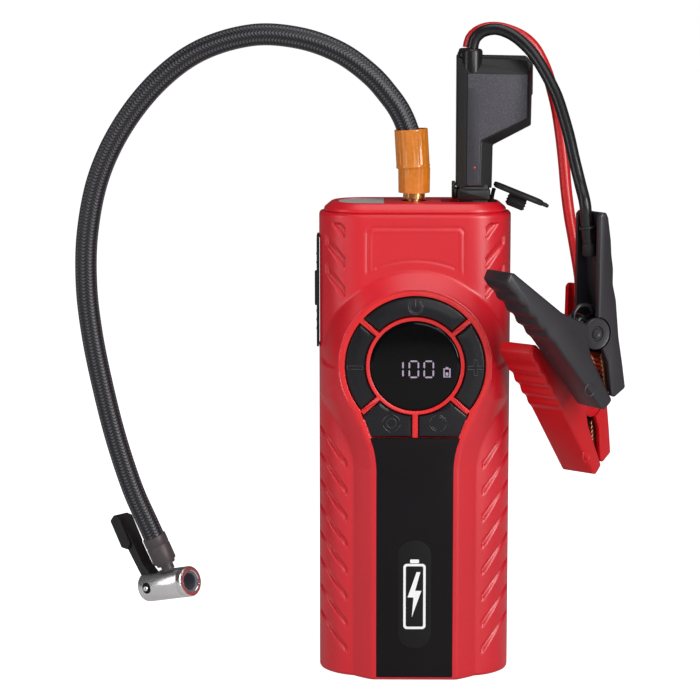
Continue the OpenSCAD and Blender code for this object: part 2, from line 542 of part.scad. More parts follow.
// crimp barrel that takes the lead, with a strap down to the jaw
module crimp(x,z,tilt) translate([x,0,z]) rotate([0,tilt,0]) translate([0,0,-5]) cylinder(r=3,h=5);
module jaw_strap(z1) rotate([90,0,0]) linear_extrude(5,center=true) polygon([[3.4,z1-3],[4.9,z1-3],[5.2,33],[6,20],[7.4,12.6],[9.2,-2],[10.9,-13],[10.6,-20],[8,-20],[8,-14],[9.4,-13],[7.8,-1.8],[6.2,12],[4.6,20]]);

module black_clamp_arm() color(dark) black_frame() clamp_arm();
module black_clamp_lever() color(dark) black_frame() clamp_lever();
module black_arm_jaw() color([0.65,0.32,0.2]) black_frame() { arm_jaw(); jaw_strap(38); crimp(1.6,38,-4); }
module black_lever_jaw() color([0.65,0.32,0.2]) black_frame() lever_jaw();
module black_clamp_pin() color([0.2,0.2,0.21]) black_frame() clamp_pin();
module black_clamp_spring() color([0.7,0.7,0.7]) black_frame() clamp_spring();
module red_clamp_arm() color(red) red_frame() clamp_arm();
module red_clamp_lever() color(red) red_frame() clamp_lever();
module red_arm_jaw() color([0.65,0.32,0.2]) red_frame() { arm_jaw(); jaw_strap(38); crimp(1.6,38,-4); }
module red_lever_jaw() color([0.65,0.32,0.2]) red_frame() lever_jaw();
module red_clamp_pin() color(red) red_frame() clamp_pin();
module red_clamp_spring() color([0.7,0.7,0.7]) red_frame() clamp_spring();

front_shell();
rear_shell();
top_cap();
front_panel();
panel_badge();
display_lens();
display_board();
power_button();
minus_button();
plus_button();
mode_button();
lamp_button();
control_board();
torch_lens();
torch_board();
jump_socket();
usb_ports();
side_port_cover();
battery_cell_front();
battery_cell_middle();
battery_cell_rear();
pump_motor();
motor_pinion();
crank_gear();
piston_rod();
pump_cylinder();
air_tube();
air_outlet();
case_screws();
flap_strap();
port_flap();
hose_coupling();
hose_barb();
hose_sleeve();
air_hose();
hose_ferrule();
chuck_body();
chuck_lever();
chuck_pin();
chuck_seal();
module_front();
module_rear();
module_gland();
module_plug();
module_contacts();
module_board();
lead_black();
lead_red();
black_clamp_arm();
black_clamp_lever();
black_arm_jaw();
black_lever_jaw();
black_clamp_pin();
black_clamp_spring();
red_clamp_arm();
red_clamp_lever();
red_arm_jaw();
red_lever_jaw();
red_clamp_pin();
red_clamp_spring();
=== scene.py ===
import bpy, bmesh, math, random
import numpy as np
from mathutils import Matrix, Vector


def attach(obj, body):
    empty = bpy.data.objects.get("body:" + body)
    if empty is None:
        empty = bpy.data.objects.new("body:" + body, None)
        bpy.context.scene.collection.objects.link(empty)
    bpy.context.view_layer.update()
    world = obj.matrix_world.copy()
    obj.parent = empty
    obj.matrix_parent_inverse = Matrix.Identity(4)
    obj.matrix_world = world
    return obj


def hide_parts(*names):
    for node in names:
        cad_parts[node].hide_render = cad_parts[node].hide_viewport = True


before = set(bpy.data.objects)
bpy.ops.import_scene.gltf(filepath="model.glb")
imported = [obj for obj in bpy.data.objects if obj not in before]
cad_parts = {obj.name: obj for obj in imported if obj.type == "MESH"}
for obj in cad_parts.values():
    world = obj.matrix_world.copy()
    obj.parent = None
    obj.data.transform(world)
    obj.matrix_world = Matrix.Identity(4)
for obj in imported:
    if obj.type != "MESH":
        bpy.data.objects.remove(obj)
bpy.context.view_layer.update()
random.seed(7)
MM = 0.001
rad = math.radians

# ---------------------------------------------------------------- camera
cam = bpy.data.objects.new("camera", bpy.data.cameras.new("camera"))
bpy.context.scene.collection.objects.link(cam)
cam.location = (-0.0178, -1.1236, 0.3161)
cam.rotation_euler = (rad(81.41), 0, rad(0.58))
cam.data.sensor_width = 36
cam.data.lens = 128.93
bpy.context.scene.camera = cam

# ---------------------------------------------------------------- materials
def mat(name, col, rough=0.4, metal=0.0, spec=0.5, coat=0.0, coat_rough=0.1, scale=900.0, var=0.06, bump=0.15, bdist=0.00004,
        rvar=0.05, trans=0.0, sheen=0.0, emit=None, aniso=0.0, bscale=None, speck=None, sub=0.0):
    m = bpy.data.materials.new(name); m.use_nodes = True
    nt = m.node_tree; n = nt.nodes; l = nt.links
    b = n["Principled BSDF"]
    tc = n.new("ShaderNodeTexCoord")
    nz = n.new("ShaderNodeTexNoise"); nz.inputs["Scale"].default_value = scale; nz.inputs["Detail"].default_value = 4
    l.new(tc.outputs["Object"], nz.inputs["Vector"])
    big = n.new("ShaderNodeTexNoise"); big.inputs["Scale"].default_value = 28; big.inputs["Detail"].default_value = 3
    l.new(tc.outputs["Object"], big.inputs["Vector"])
    add = n.new("ShaderNodeMath"); add.operation = 'ADD'
    mul = n.new("ShaderNodeMath"); mul.operation = 'MULTIPLY'; mul.inputs[1].default_value = 0.5
    l.new(nz.outputs["Fac"], add.inputs[0]); l.new(big.outputs["Fac"], add.inputs[1]); l.new(add.outputs[0], mul.inputs[0])
    cr = n.new("ShaderNodeValToRGB")
    lo = [max(0, c * (1 - var)) for c in col]; hi = [min(1, c * (1 + var)) for c in col]
    cr.color_ramp.elements[0].position = 0.35; cr.color_ramp.elements[0].color = (*lo, 1)
    cr.color_ramp.elements[1].position = 0.65; cr.color_ramp.elements[1].color = (*hi, 1)
    l.new(mul.outputs[0], cr.inputs["Fac"])
    colout = cr.outputs["Color"]
    if speck:
        vz = n.new("ShaderNodeTexNoise"); vz.inputs["Scale"].default_value = speck[0]; vz.inputs["Detail"].default_value = 2
        l.new(tc.outputs["Object"], vz.inputs["Vector"])
        r2 = n.new("ShaderNodeValToRGB")
        r2.color_ramp.elements[0].position = speck[1]; r2.color_ramp.elements[0].color = (0, 0, 0, 1)
        r2.color_ramp.elements[1].position = min(1, speck[1] + 0.06); r2.color_ramp.elements[1].color = (1, 1, 1, 1)
        l.new(vz.outputs["Fac"], r2.inputs["Fac"])
        mx = n.new("ShaderNodeMix"); mx.data_type = 'RGBA'
        l.new(r2.outputs["Color"], mx.inputs["Factor"]); l.new(colout, mx.inputs[6]); mx.inputs[7].default_value = (*speck[2], 1)
        colout = mx.outputs[2]
    l.new(colout, b.inputs["Base Color"])
    mr = n.new("ShaderNodeMapRange"); mr.inputs["To Min"].default_value = max(0.02, rough - rvar); mr.inputs["To Max"].default_value = min(1, rough + rvar)
    l.new(mul.outputs[0], mr.inputs["Value"]); l.new(mr.outputs["Result"], b.inputs["Roughness"])
    b.inputs["Metallic"].default_value = metal
    b.inputs["Specular IOR Level"].default_value = spec
    b.inputs["Coat Weight"].default_value = coat
    b.inputs["Coat Roughness"].default_value = coat_rough
    b.inputs["Transmission Weight"].default_value = trans
    b.inputs["Sheen Weight"].default_value = sheen
    if sub: b.inputs["Subsurface Weight"].default_value = sub; b.inputs["Subsurface Scale"].default_value = 0.002
    if emit:
        b.inputs["Emission Color"].default_value = (*emit[0], 1); b.inputs["Emission Strength"].default_value = emit[1]
    if bump:
        bz = n.new("ShaderNodeTexNoise"); bz.inputs["Scale"].default_value = bscale or scale; bz.inputs["Detail"].default_value = 2
        l.new(tc.outputs["Object"], bz.inputs["Vector"])
        bp = n.new("ShaderNodeBump"); bp.inputs["Strength"].default_value = bump; bp.inputs["Distance"].default_value = bdist
        l.new(bz.outputs["Fac"], bp.inputs["Height"]); l.new(bp.outputs["Normal"], b.inputs["Normal"])
    return m

M = {}
M["red"] = mat("red_shell", (0.6, 0.0035, 0.014), 0.37, spec=0.78, coat=0.0, scale=1500, var=0.05, bump=0.35, bdist=0.00003)
M["red_hard"] = mat("red_trim", (0.68, 0.018, 0.02), 0.32, spec=0.5, coat=0.12, coat_rough=0.2, scale=1500, var=0.04, bump=0.1)
M["clampred"] = mat("red_clamp", (0.55, 0.003, 0.008), 0.36, spec=0.4, coat=0.0, scale=1200, var=0.06, bump=0.35)
M["black"] = mat("black_plastic", (0.014, 0.0135, 0.0155), 0.42, spec=0.35, scale=1600, var=0.2, bump=0.4)
M["key"] = mat("key_black", (0.0055, 0.0053, 0.0075), 0.34, spec=0.42, coat=0.0, scale=1800, var=0.2, bump=0.2)
# embossed icons: glossier finish, and a lighter grey than the keys as a painted highlight on the raised lines
M["keyicon"] = mat("key_icon_painted_highlight", (0.03, 0.029, 0.035), 0.2, spec=0.9, coat=0.0, scale=1800, var=0.2, bump=0.1)
M["panel"] = mat("panel_black", (0.0075, 0.0063, 0.0072), 0.36, spec=0.14, coat=0.0, scale=2000, var=0.2, bump=0.12)
M["badge"] = mat("badge_black", (0.0095, 0.0088, 0.0098), 0.42, spec=0.2, scale=2200, var=0.25, bump=0.2)
M["gloss"] = mat("lens_black", (0.002, 0.0017, 0.0022), 0.07, spec=0.2, coat=0.0, scale=600, var=0.3, bump=0.0, rvar=0.02)
M["digit"] = mat("digit", (0.34, 0.27, 0.37), 0.4, scale=900, var=0.05, bump=0.0, emit=((0.5, 0.42, 0.55), 0.16))
M["rubber"] = mat("rubber_black", (0.013, 0.013, 0.0145), 0.55, spec=0.35, scale=1300, var=0.25, bump=0.5)
M["torch"] = mat("torch_lens", (0.62, 0.61, 0.6), 0.35, spec=0.5, scale=700, var=0.05, bump=0.4, trans=0.25, bdist=0.0001)
M["orange"] = mat("orange_plastic", (0.86, 0.27, 0.02), 0.22, spec=0.5, coat=0.4, coat_rough=0.12, scale=500, var=0.14, bump=0.15, trans=0.3)
M["brass"] = mat("brass", (0.83, 0.6, 0.28), 0.24, metal=1.0, scale=1500, var=0.08, bump=0.15)
M["chrome"] = mat("satin_nickel", (0.93, 0.92, 0.92), 0.27, metal=1.0, scale=2200, var=0.06, bump=0.25)
M["polish"] = mat("polished_nickel", (0.9, 0.89, 0.89), 0.16, metal=1.0, scale=900, var=0.04, bump=0.0)
M["steel"] = mat("steel", (0.62, 0.62, 0.64), 0.2, metal=1.0, scale=1400, var=0.06, bump=0.1)
M["copper"] = mat("copper", (0.5, 0.2, 0.11), 0.32, metal=0.9, scale=900, var=0.25, bump=0.35)
M["ferrule"] = mat("ferrule_rubber", (0.062, 0.05, 0.053), 0.42, spec=0.4, scale=1100, var=0.12, bump=0.35)
# module face: real speckled finish, and its lighter grey against the module's sides is partly a painted sheen
M["module"] = mat("module_face", (0.058, 0.055, 0.066), 0.45, spec=0.4, scale=1500, var=0.25, bump=0.8, bdist=0.00006, speck=(3600, 0.6, (0.12, 0.12, 0.14)))
M["band"] = mat("module_band", (0.032, 0.03, 0.037), 0.42, spec=0.4, scale=1500, var=0.25, bump=0.6, speck=(3600, 0.62, (0.08, 0.08, 0.09)))
# module black plastic; on the cover's sides and chamfers, its darkness next to the face is partly painted shade
M["modrear"] = mat("module_black", (0.009, 0.009, 0.010), 0.38, spec=0.4, scale=1500, var=0.2, bump=0.5)
M["plug"] = mat("plug_black", (0.008, 0.007, 0.007), 0.3, spec=0.45, coat=0.0, scale=1100, var=0.2, bump=0.1)
M["leadblack"] = mat("lead_black", (0.008, 0.008, 0.0095), 0.28, spec=0.5, coat=0.0, scale=300, var=0.12, bump=0.02)
M["leadred"] = mat("lead_red", (0.5, 0.008, 0.01), 0.32, spec=0.5, coat=0.1, scale=300, var=0.06, bump=0.02)
M["clampblack"] = mat("clamp_black", (0.021, 0.0185, 0.0225), 0.37, spec=0.5, scale=1400, var=0.15, bump=0.35)
M["board"] = mat("board_green", (0.02, 0.16, 0.07), 0.4, scale=600, var=0.2, bump=0.1)
M["foil"] = mat("cell_foil", (0.3, 0.32, 0.36), 0.35, metal=0.9, scale=300, var=0.1, bump=0.3)
M["white"] = mat("white_plastic", (0.75, 0.74, 0.7), 0.4, scale=900, var=0.05, bump=0.1)
M["led"] = mat("led_red", (0.6, 0.02, 0.02), 0.2, scale=900, var=0.1, bump=0.0, emit=((0.9, 0.05, 0.05), 0.6))

def braid_mat():
    m = bpy.data.materials.new("braid"); m.use_nodes = True
    nt = m.node_tree; n = nt.nodes; l = nt.links; b = n["Principled BSDF"]
    uv = n.new("ShaderNodeUVMap"); uv.uv_map = "UVMap"
    sp = n.new("ShaderNodeSeparateXYZ"); l.new(uv.outputs["UV"], sp.inputs[0])
    def mth(op, a, c=None, v=None):
        q = n.new("ShaderNodeMath"); q.operation = op
        l.new(a, q.inputs[0])
        if c is not None: l.new(c, q.inputs[1])
        if v is not None: q.inputs[1].default_value = v
        return q.outputs[0]
    w8 = mth('MULTIPLY', sp.outputs[1], v=9.0)                   # v is one turn, u is in millimetres along the hose
    tri = mth('PINGPONG', mth('MULTIPLY', w8, v=2.0), v=1.0)
    ph = mth('MULTIPLY', mth('ADD', mth('DIVIDE', sp.outputs[0], v=1.5), mth('MULTIPLY', tri, v=0.75)), v=2 * math.pi)
    strand = mth('SINE', ph)
    colm = mth('COSINE', mth('MULTIPLY', w8, v=2 * math.pi))     # zigzag strand columns get a painted highlight, the bands between them painted shade
    hgt = mth('ADD', mth('MULTIPLY', strand, v=0.6), mth('MULTIPLY', colm, v=0.6))
    cr = n.new("ShaderNodeValToRGB")
    mr = n.new("ShaderNodeMapRange"); mr.inputs["From Min"].default_value = -1.2; mr.inputs["From Max"].default_value = 1.2
    l.new(hgt, mr.inputs["Value"]); l.new(mr.outputs["Result"], cr.inputs["Fac"])
    # colour ramp over the weave height: the dark end is painted shade between the strands, the light end a painted
    # highlight on them
    cr.color_ramp.elements[0].position = 0.48; cr.color_ramp.elements[0].color = (0.0032, 0.003, 0.0038, 1)
    cr.color_ramp.elements[1].position = 0.95; cr.color_ramp.elements[1].color = (0.08, 0.078, 0.096, 1)
    l.new(cr.outputs["Color"], b.inputs["Base Color"])
    b.inputs["Roughness"].default_value = 0.42; b.inputs["Sheen Weight"].default_value = 0.1; b.inputs["Sheen Roughness"].default_value = 0.4
    bp = n.new("ShaderNodeBump"); bp.inputs["Strength"].default_value = 0.6; bp.inputs["Distance"].default_value = 0.00025
    l.new(mr.outputs["Result"], bp.inputs["Height"]); l.new(bp.outputs["Normal"], b.inputs["Normal"])
    return m
M["braid"] = braid_mat()
M["seal"] = mat("chuck_seal", (0.13, 0.125, 0.15), 0.35, spec=0.5, scale=900, var=0.12, bump=0.2)

# ---------------------------------------------------------------- mesh helpers (millimetres)
def rz(a): return Matrix.Rotation(rad(a), 4, 'Z')
def ry(a): return Matrix.Rotation(rad(a), 4, 'Y')
def rx(a): return Matrix.Rotation(rad(a), 4, 'X')
def tr(x, y, z): return Matrix.Translation((x, y, z))

def xf(part, m):
    v, f = part
    a = np.array(m)
    v = np.asarray(v, float)
    return v @ a[:3, :3].T + a[:3, 3], f

def join(parts):
    V = []; F = []; k = 0
    for v, f in parts:
        v = np.asarray(v, float)
        V.append(v); F += [tuple(i + k for i in q) for q in f]; k += len(v)
    return np.vstack(V), F

def make(name, part, material, body="housing", replaces=(), angle=38, bevel=0, seg=2, normals=True, smooth=True, mats=None, wn=False):
    v, f = part
    me = bpy.data.meshes.new(name)
    me.from_pydata((np.asarray(v, float) * MM).tolist(), [], [tuple(map(int, q)) for q in f])
    me.validate(); me.update()
    bm = bmesh.new(); bm.from_mesh(me)
    bmesh.ops.remove_doubles(bm, verts=bm.verts, dist=1e-7)
    if normals: bmesh.ops.recalc_face_normals(bm, faces=bm.faces)
    for fc in bm.faces: fc.smooth = smooth
    for e in bm.edges:
        e.smooth = len(e.link_faces) == 2 and e.calc_face_angle(0) < rad(angle)
    bm.to_mesh(me); bm.free()
    ob = bpy.data.objects.new(name, me)
    bpy.context.scene.collection.objects.link(ob)
    me.materials.append(material)
    if bevel:
        md = ob.modifiers.new("edge", 'BEVEL'); md.width = bevel * MM; md.segments = seg; md.limit_method = 'ANGLE'; md.angle_limit = rad(30)
        md.harden_normals = False
        me.set_sharp_from_angle(angle=rad(180))
        w = ob.modifiers.new("wn", 'WEIGHTED_NORMAL'); w.keep_sharp = True
    if body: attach(ob, body)
    if replaces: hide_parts(*replaces)
    return ob

def cut(ob, part, op='DIFFERENCE'):
    v, f = part
    me = bpy.data.meshes.new("cutter")
    me.from_pydata((np.asarray(v, float) * MM).tolist(), [], [tuple(map(int, q)) for q in f]); me.validate()
    bm = bmesh.new(); bm.from_mesh(me); bmesh.ops.recalc_face_normals(bm, faces=bm.faces); bm.to_mesh(me); bm.free()
    c = bpy.data.objects.new("cutter", me); bpy.context.scene.collection.objects.link(c)
    md = ob.modifiers.new("cut", 'BOOLEAN'); md.operation = op; md.object = c; md.solver = 'EXACT'
    dg = bpy.context.evaluated_depsgraph_get(); dg.update()
    new = bpy.data.meshes.new_from_object(ob.evaluated_get(dg), depsgraph=dg)
    ob.modifiers.remove(md)
    old = ob.data; mats = list(old.materials)
    ob.data = new
    new.materials.clear()
    for m_ in mats: new.materials.append(m_)
    bpy.data.objects.remove(c); bpy.data.meshes.remove(me); bpy.data.meshes.remove(old)
    return ob

def sharpen(ob, angle=35):
    me = ob.data
    for p in me.polygons: p.use_smooth = True
    me.set_sharp_from_angle(angle=rad(angle))
    return ob

def area(p): return 0.5 * sum(p[i][0] * p[(i + 1) % len(p)][1] - p[(i + 1) % len(p)][0] * p[i][1] for i in range(len(p)))

def rpoly(pts, r, n=5):
    out = []; m = len(pts)
    for i in range(m):
        p = np.array(pts[i][:2], float); a = np.array(pts[i - 1][:2], float); b = np.array(pts[(i + 1) % m][:2], float)
        ri = pts[i][2] if len(pts[i]) > 2 else r
        u = (a - p) / np.linalg.norm(a - p); w = (b - p) / np.linalg.norm(b - p)
        c = max(-1, min(1, float(u @ w))); th = math.acos(c)
        if th > rad(176) or ri <= 0: out.append(tuple(p)); continue
        t = ri / math.tan(th / 2)
        t = min(t, 0.48 * np.linalg.norm(a - p), 0.48 * np.linalg.norm(b - p)); rr_ = t * math.tan(th / 2)
        bis = (u + w) / np.linalg.norm(u + w); cen = p + bis * (rr_ / math.sin(th / 2))
        s = p + u * t; e = p + w * t
        a0 = math.atan2(*(s - cen)[::-1]); a1 = math.atan2(*(e - cen)[::-1])
        d = (a1 - a0 + math.pi) % (2 * math.pi) - math.pi
        for k in range(n + 1):
            q = a0 + d * k / n; out.append((cen[0] + rr_ * math.cos(q), cen[1] + rr_ * math.sin(q)))
    return out

def inset(p, d):
    p = [np.array(q, float) for q in p]; s = 1 if area(p) > 0 else -1; m = len(p); out = []
    for i in range(m):
        a = p[i] - p[i - 1]; b = p[(i + 1) % m] - p[i]
        a = a / (np.linalg.norm(a) + 1e-12); b = b / (np.linalg.norm(b) + 1e-12)
        na = np.array([-a[1], a[0]]) * s; nb = np.array([-b[1], b[0]]) * s
        k = 1 + float(na @ nb); v = (na + nb) / max(k, 0.35)
        out.append(p[i] + v * d)
    return out

def prism(poly, y0, y1, b=0.0, seg=3, b2=None):
    """solid of a plan in X and Z from y0 to y1, its end edges rounded by b (at y0) and b2 (at y1)"""
    if b2 is None: b2 = b
    rows = []
    for k in range(seg + 1 if b else 1):
        t = rad(90) * k / seg if b else rad(90)
        rows.append((y0 + b * (1 - math.sin(t)), b * (1 - math.cos(t + 0)) if False else b * (1 - math.sin(rad(90) - (rad(90) - t)) if False else 0)))
    rows = []
    if b:
        for k in range(seg + 1):
            t = rad(90) * k / seg; rows.append((y0 + b * (1 - math.cos(t)), b * (1 - math.sin(t))))
    else: rows.append((y0, 0))
    if b2:
        for k in range(seg, -1, -1):
            t = rad(90) * k / seg; rows.append((y1 - b2 * (1 - math.cos(t)), b2 * (1 - math.sin(t))))
    else: rows.append((y1, 0))
    V = []; m = len(poly); F = []
    for y, d in rows:
        q = inset(poly, d) if d > 1e-9 else [np.array(p, float) for p in poly]
        V += [(p[0], y, p[1]) for p in q]
    for r in range(len(rows) - 1):
        for i in range(m):
            j = (i + 1) % m
            F.append((r * m + i, r * m + j, (r + 1) * m + j, (r + 1) * m + i))
    F.append(tuple(range(m))); F.append(tuple(range((len(rows) - 1) * m, len(rows) * m))[::-1])
    return np.array(V), F

def lathe(prof, n=48, closed=False):
    """profile of (r, z) about Z"""
    V = []; F = []; idx = []
    for r, z in prof:
        if r < 1e-6: idx.append([len(V)] * n); V.append((0, 0, z))
        else:
            idx.append(list(range(len(V), len(V) + n)))
            V += [(r * math.cos(2 * math.pi * k / n), r * math.sin(2 * math.pi * k / n), z) for k in range(n)]
    m = len(prof)
    for i in range(m if closed else m - 1):
        a = idx[i]; b = idx[(i + 1) % m]
        for k in range(n):
            j = (k + 1) % n
            q = []
            for v_ in (a[k], a[j], b[j], b[k]):
                if v_ not in q: q.append(v_)
            if len(q) > 2: F.append(tuple(q))
    if not closed:
        for e in (0, m - 1):
            if prof[e][0] > 1e-6: F.append(tuple(idx[e]))
    return np.array(V), F

def box(x0, y0, z0, x1, y1, z1):
    V = [(x, y, z) for x in (x0, x1) for y in (y0, y1) for z in (z0, z1)]
    return np.array(V, float), [(0, 1, 3, 2), (4, 6, 7, 5), (0, 4, 5, 1), (2, 3, 7, 6), (0, 2, 6, 4), (1, 5, 7, 3)]

def rbox(x0, y0, z0, x1, y1, z1, r=1.0, b=0.4):
    return prism(rpoly([(x0, z0), (x1, z0), (x1, z1), (x0, z1)], r), y0, y1, b)

def spline(P, step=1.5):
    P = [np.array(p, float) for p in P]; out = []
    Q = [2 * P[0] - P[1]] + P + [2 * P[-1] - P[-2]]
    for i in range(1, len(Q) - 2):
        a, b, c, d = Q[i - 1:i + 3]
        n = max(2, int(np.linalg.norm(c - b) / step))
        for k in range(n):
            t = k / n
            out.append(0.5 * (2 * b + (c - a) * t + (2 * a - 5 * b + 4 * c - d) * t * t + (3 * b - a - 3 * c + d) * t ** 3))
    out.append(P[-1])
    return out

def tube(P, r, n=20, rf=None):
    P = [np.array(p, float) for p in P]; m = len(P); V = []; F = []
    T = []
    for i in range(m):
        t = P[min(i + 1, m - 1)] - P[max(i - 1, 0)]; T.append(t / np.linalg.norm(t))
    u = np.cross([0, 1, 0.001], T[0]); u /= np.linalg.norm(u)
    for i in range(m):
        u = u - T[i] * (u @ T[i]); u /= np.linalg.norm(u); w = np.cross(T[i], u)
        q = rf(i / (m - 1)) if rf else r
        for k in range(n):
            a = 2 * math.pi * k / n; V.append(P[i] + q * (math.cos(a) * u + math.sin(a) * w))
    for i in range(m - 1):
        for k in range(n):
            j = (k + 1) % n; F.append((i * n + k, i * n + j, (i + 1) * n + j, (i + 1) * n + k))
    F.append(tuple(range(n))); F.append(tuple(range((m - 1) * n, m * n))[::-1])
    return np.array(V), F

def cordpiece(name, P, d, material, n=20, step=1.5, uv=False):
    S = spline(P, step)
    ob = make(name, tube(S, d / 2, n), material, body=None)
    if uv:
        me = ob.data; lay = me.uv_layers.new(name="UVMap")
        S_ = np.array(S); L = np.concatenate([[0], np.cumsum(np.linalg.norm(np.diff(S_, axis=0), axis=1))])
        m = len(S)
        for poly in me.polygons:
            idx = [me.loops[li].vertex_index for li in poly.loop_indices]
            ks = [i % n for i in idx]
            wrap = max(ks) - min(ks) > n // 2
            for li, i in zip(poly.loop_indices, idx):
                k = i % n
                if wrap and k < n // 2: k += n
                lay.data[li].uv = (L[min(i // n, m - 1)], k / n)
    return ob, S

# ---------------------------------------------------------------- cords first
hose_pts = [[-0.4,0,225],[-0.4,0,229],[-0.8,0,234],[-1.9,0,241],[-3.6,0,247],[-6.6,0,253.8],[-11.2,0,260.6],[-20,0,270.5],[-34,0,280.5],[-52,0,286.8],[-73,0,288],
  [-96,0,281.2],[-115,0,267.4],[-131,0,247.6],[-142,0,225],[-147.4,0,200],[-148.3,0,176],[-146,0,153],[-141.5,0,129],[-135.8,0,105],[-128.6,0,82],[-121.4,0,65],[-119,0,59.4]]
black_pts = [[25.2,-3.2,282.4], [26.2,-3.2,286.4], [29.6,-3.5,289.6], [35,-4.2,290.8], [40,-5.7,289.6], [44.3,-7.7,287.2], [48.8,-10.1,283.3], [52.7,-12.9,278.6], [56.2,-16.2,272.9], [59.3,-19.4,267], [62.2,-22.8,260.2], [66,-28.9,247], [68.5,-34,235.4], [70.9,-38.1,225.2], [72.7,-42.9,217.1], [73.6,-42.3,209.1], [74.9,-41.6,199.1]]
red_pts = [[23.6,3.2,282.4], [24.6,3.2,286.4], [27.2,3.2,289.2], [31.4,3,291], [37,3,291.2], [43,2.9,289.6], [48.6,2.8,286.8], [53,2.5,282.6], [56.1,2.2,277.4], [58.9,1.8,271], [61.3,1.2,263.1], [63.4,0.4,254.1], [65.1,-0.5,243.2], [66.5,-1.4,231.3], [67.6,-2.6,219.4], [69.2,-3.5,207.6], [71.6,-4,194.6], [74,-4.1,180.6], [74.4,-3.5,172.6], [75.2,-2.7,162.5]]
hose, S_h = cordpiece("braided_hose", hose_pts, 9.8, M["braid"], n=28, step=2.0, uv=True)
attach(hose, "housing"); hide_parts("air_hose")
lb, S_b = cordpiece("black_lead", black_pts, 5.2, M["leadblack"])
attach(lb, "housing"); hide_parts("lead_black")
lr, S_r = cordpiece("red_lead", red_pts, 5.2, M["leadred"])
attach(lr, "housing"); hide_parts("lead_red")

DZ = 143.4; FY = -28.4

# ---------------------------------------------------------------- red shells
def sst(a, b, t):
    t = np.clip((t - a) / (b - a), 0, 1); return t * t * (3 - 2 * t)
def scl(t, k=0.06):
    """clip to 0..1 with rounded corners of size k"""
    lo = 0.5 * (t + np.sqrt(t * t + k * k)); return 1 - 0.5 * ((1 - lo) + np.sqrt((1 - lo) ** 2 + k * k))

def front_cols():
    c = [(43.0, 0.0, 1, 0), (43.0, -1.0, 1, 0)]
    for k in range(61):
        a = -rad(90) * k / 60; c.append((23 + 20 * math.cos(a), -2 + 20 * math.sin(a), math.cos(a), math.sin(a)))
    for k in range(1, 92): c.append((23 - 46 * k / 92, -22, 0, -1))
    for k in range(61):
        a = -rad(90) - rad(90) * k / 60; c.append((-23 + 20 * math.cos(a), -2 + 20 * math.sin(a), math.cos(a), math.sin(a)))
    c += [(-43.0, -1.0, -1, 0), (-43.0, 0.0, -1, 0)]
    return np.array(c)

def groove_depth(X, Z):
    """depth of the slanted grips; X and Z are arrays"""
    ax = np.abs(X); d = np.zeros_like(X)
    for k in range(8):
        zi = 95.4 - 12.2 * k
        lo = zi + (ax - 30.6) * 1.36
        w = 3.7 - (ax - 30.6) * 0.14
        t = (Z - lo) / np.maximum(w, 0.6)
        q = np.clip(np.minimum(t / 0.34, (1 - t) / 0.14), 0, 1)
        d = np.maximum(d, 1.15 * q * sst(30.4, 30.9, ax) * (1 - sst(42.2, 42.9, ax)))
    for k, zi in enumerate((199.0, 185.6, 172.6)):
        lo = zi + (ax - 31.4) * 1.2
        w = 5.0 + 0 * ax
        t = (Z - lo) / w
        q = np.clip(np.minimum(t / 0.16, (1 - t) / 0.12), 0, 1)
        e = (1 - sst(39.6, 40.1, ax)) if k else (1 - sst(205.6, 206.1, Z))
        d = np.maximum(d, 1.15 * q * sst(31.2, 31.7, ax) * e)
    return d

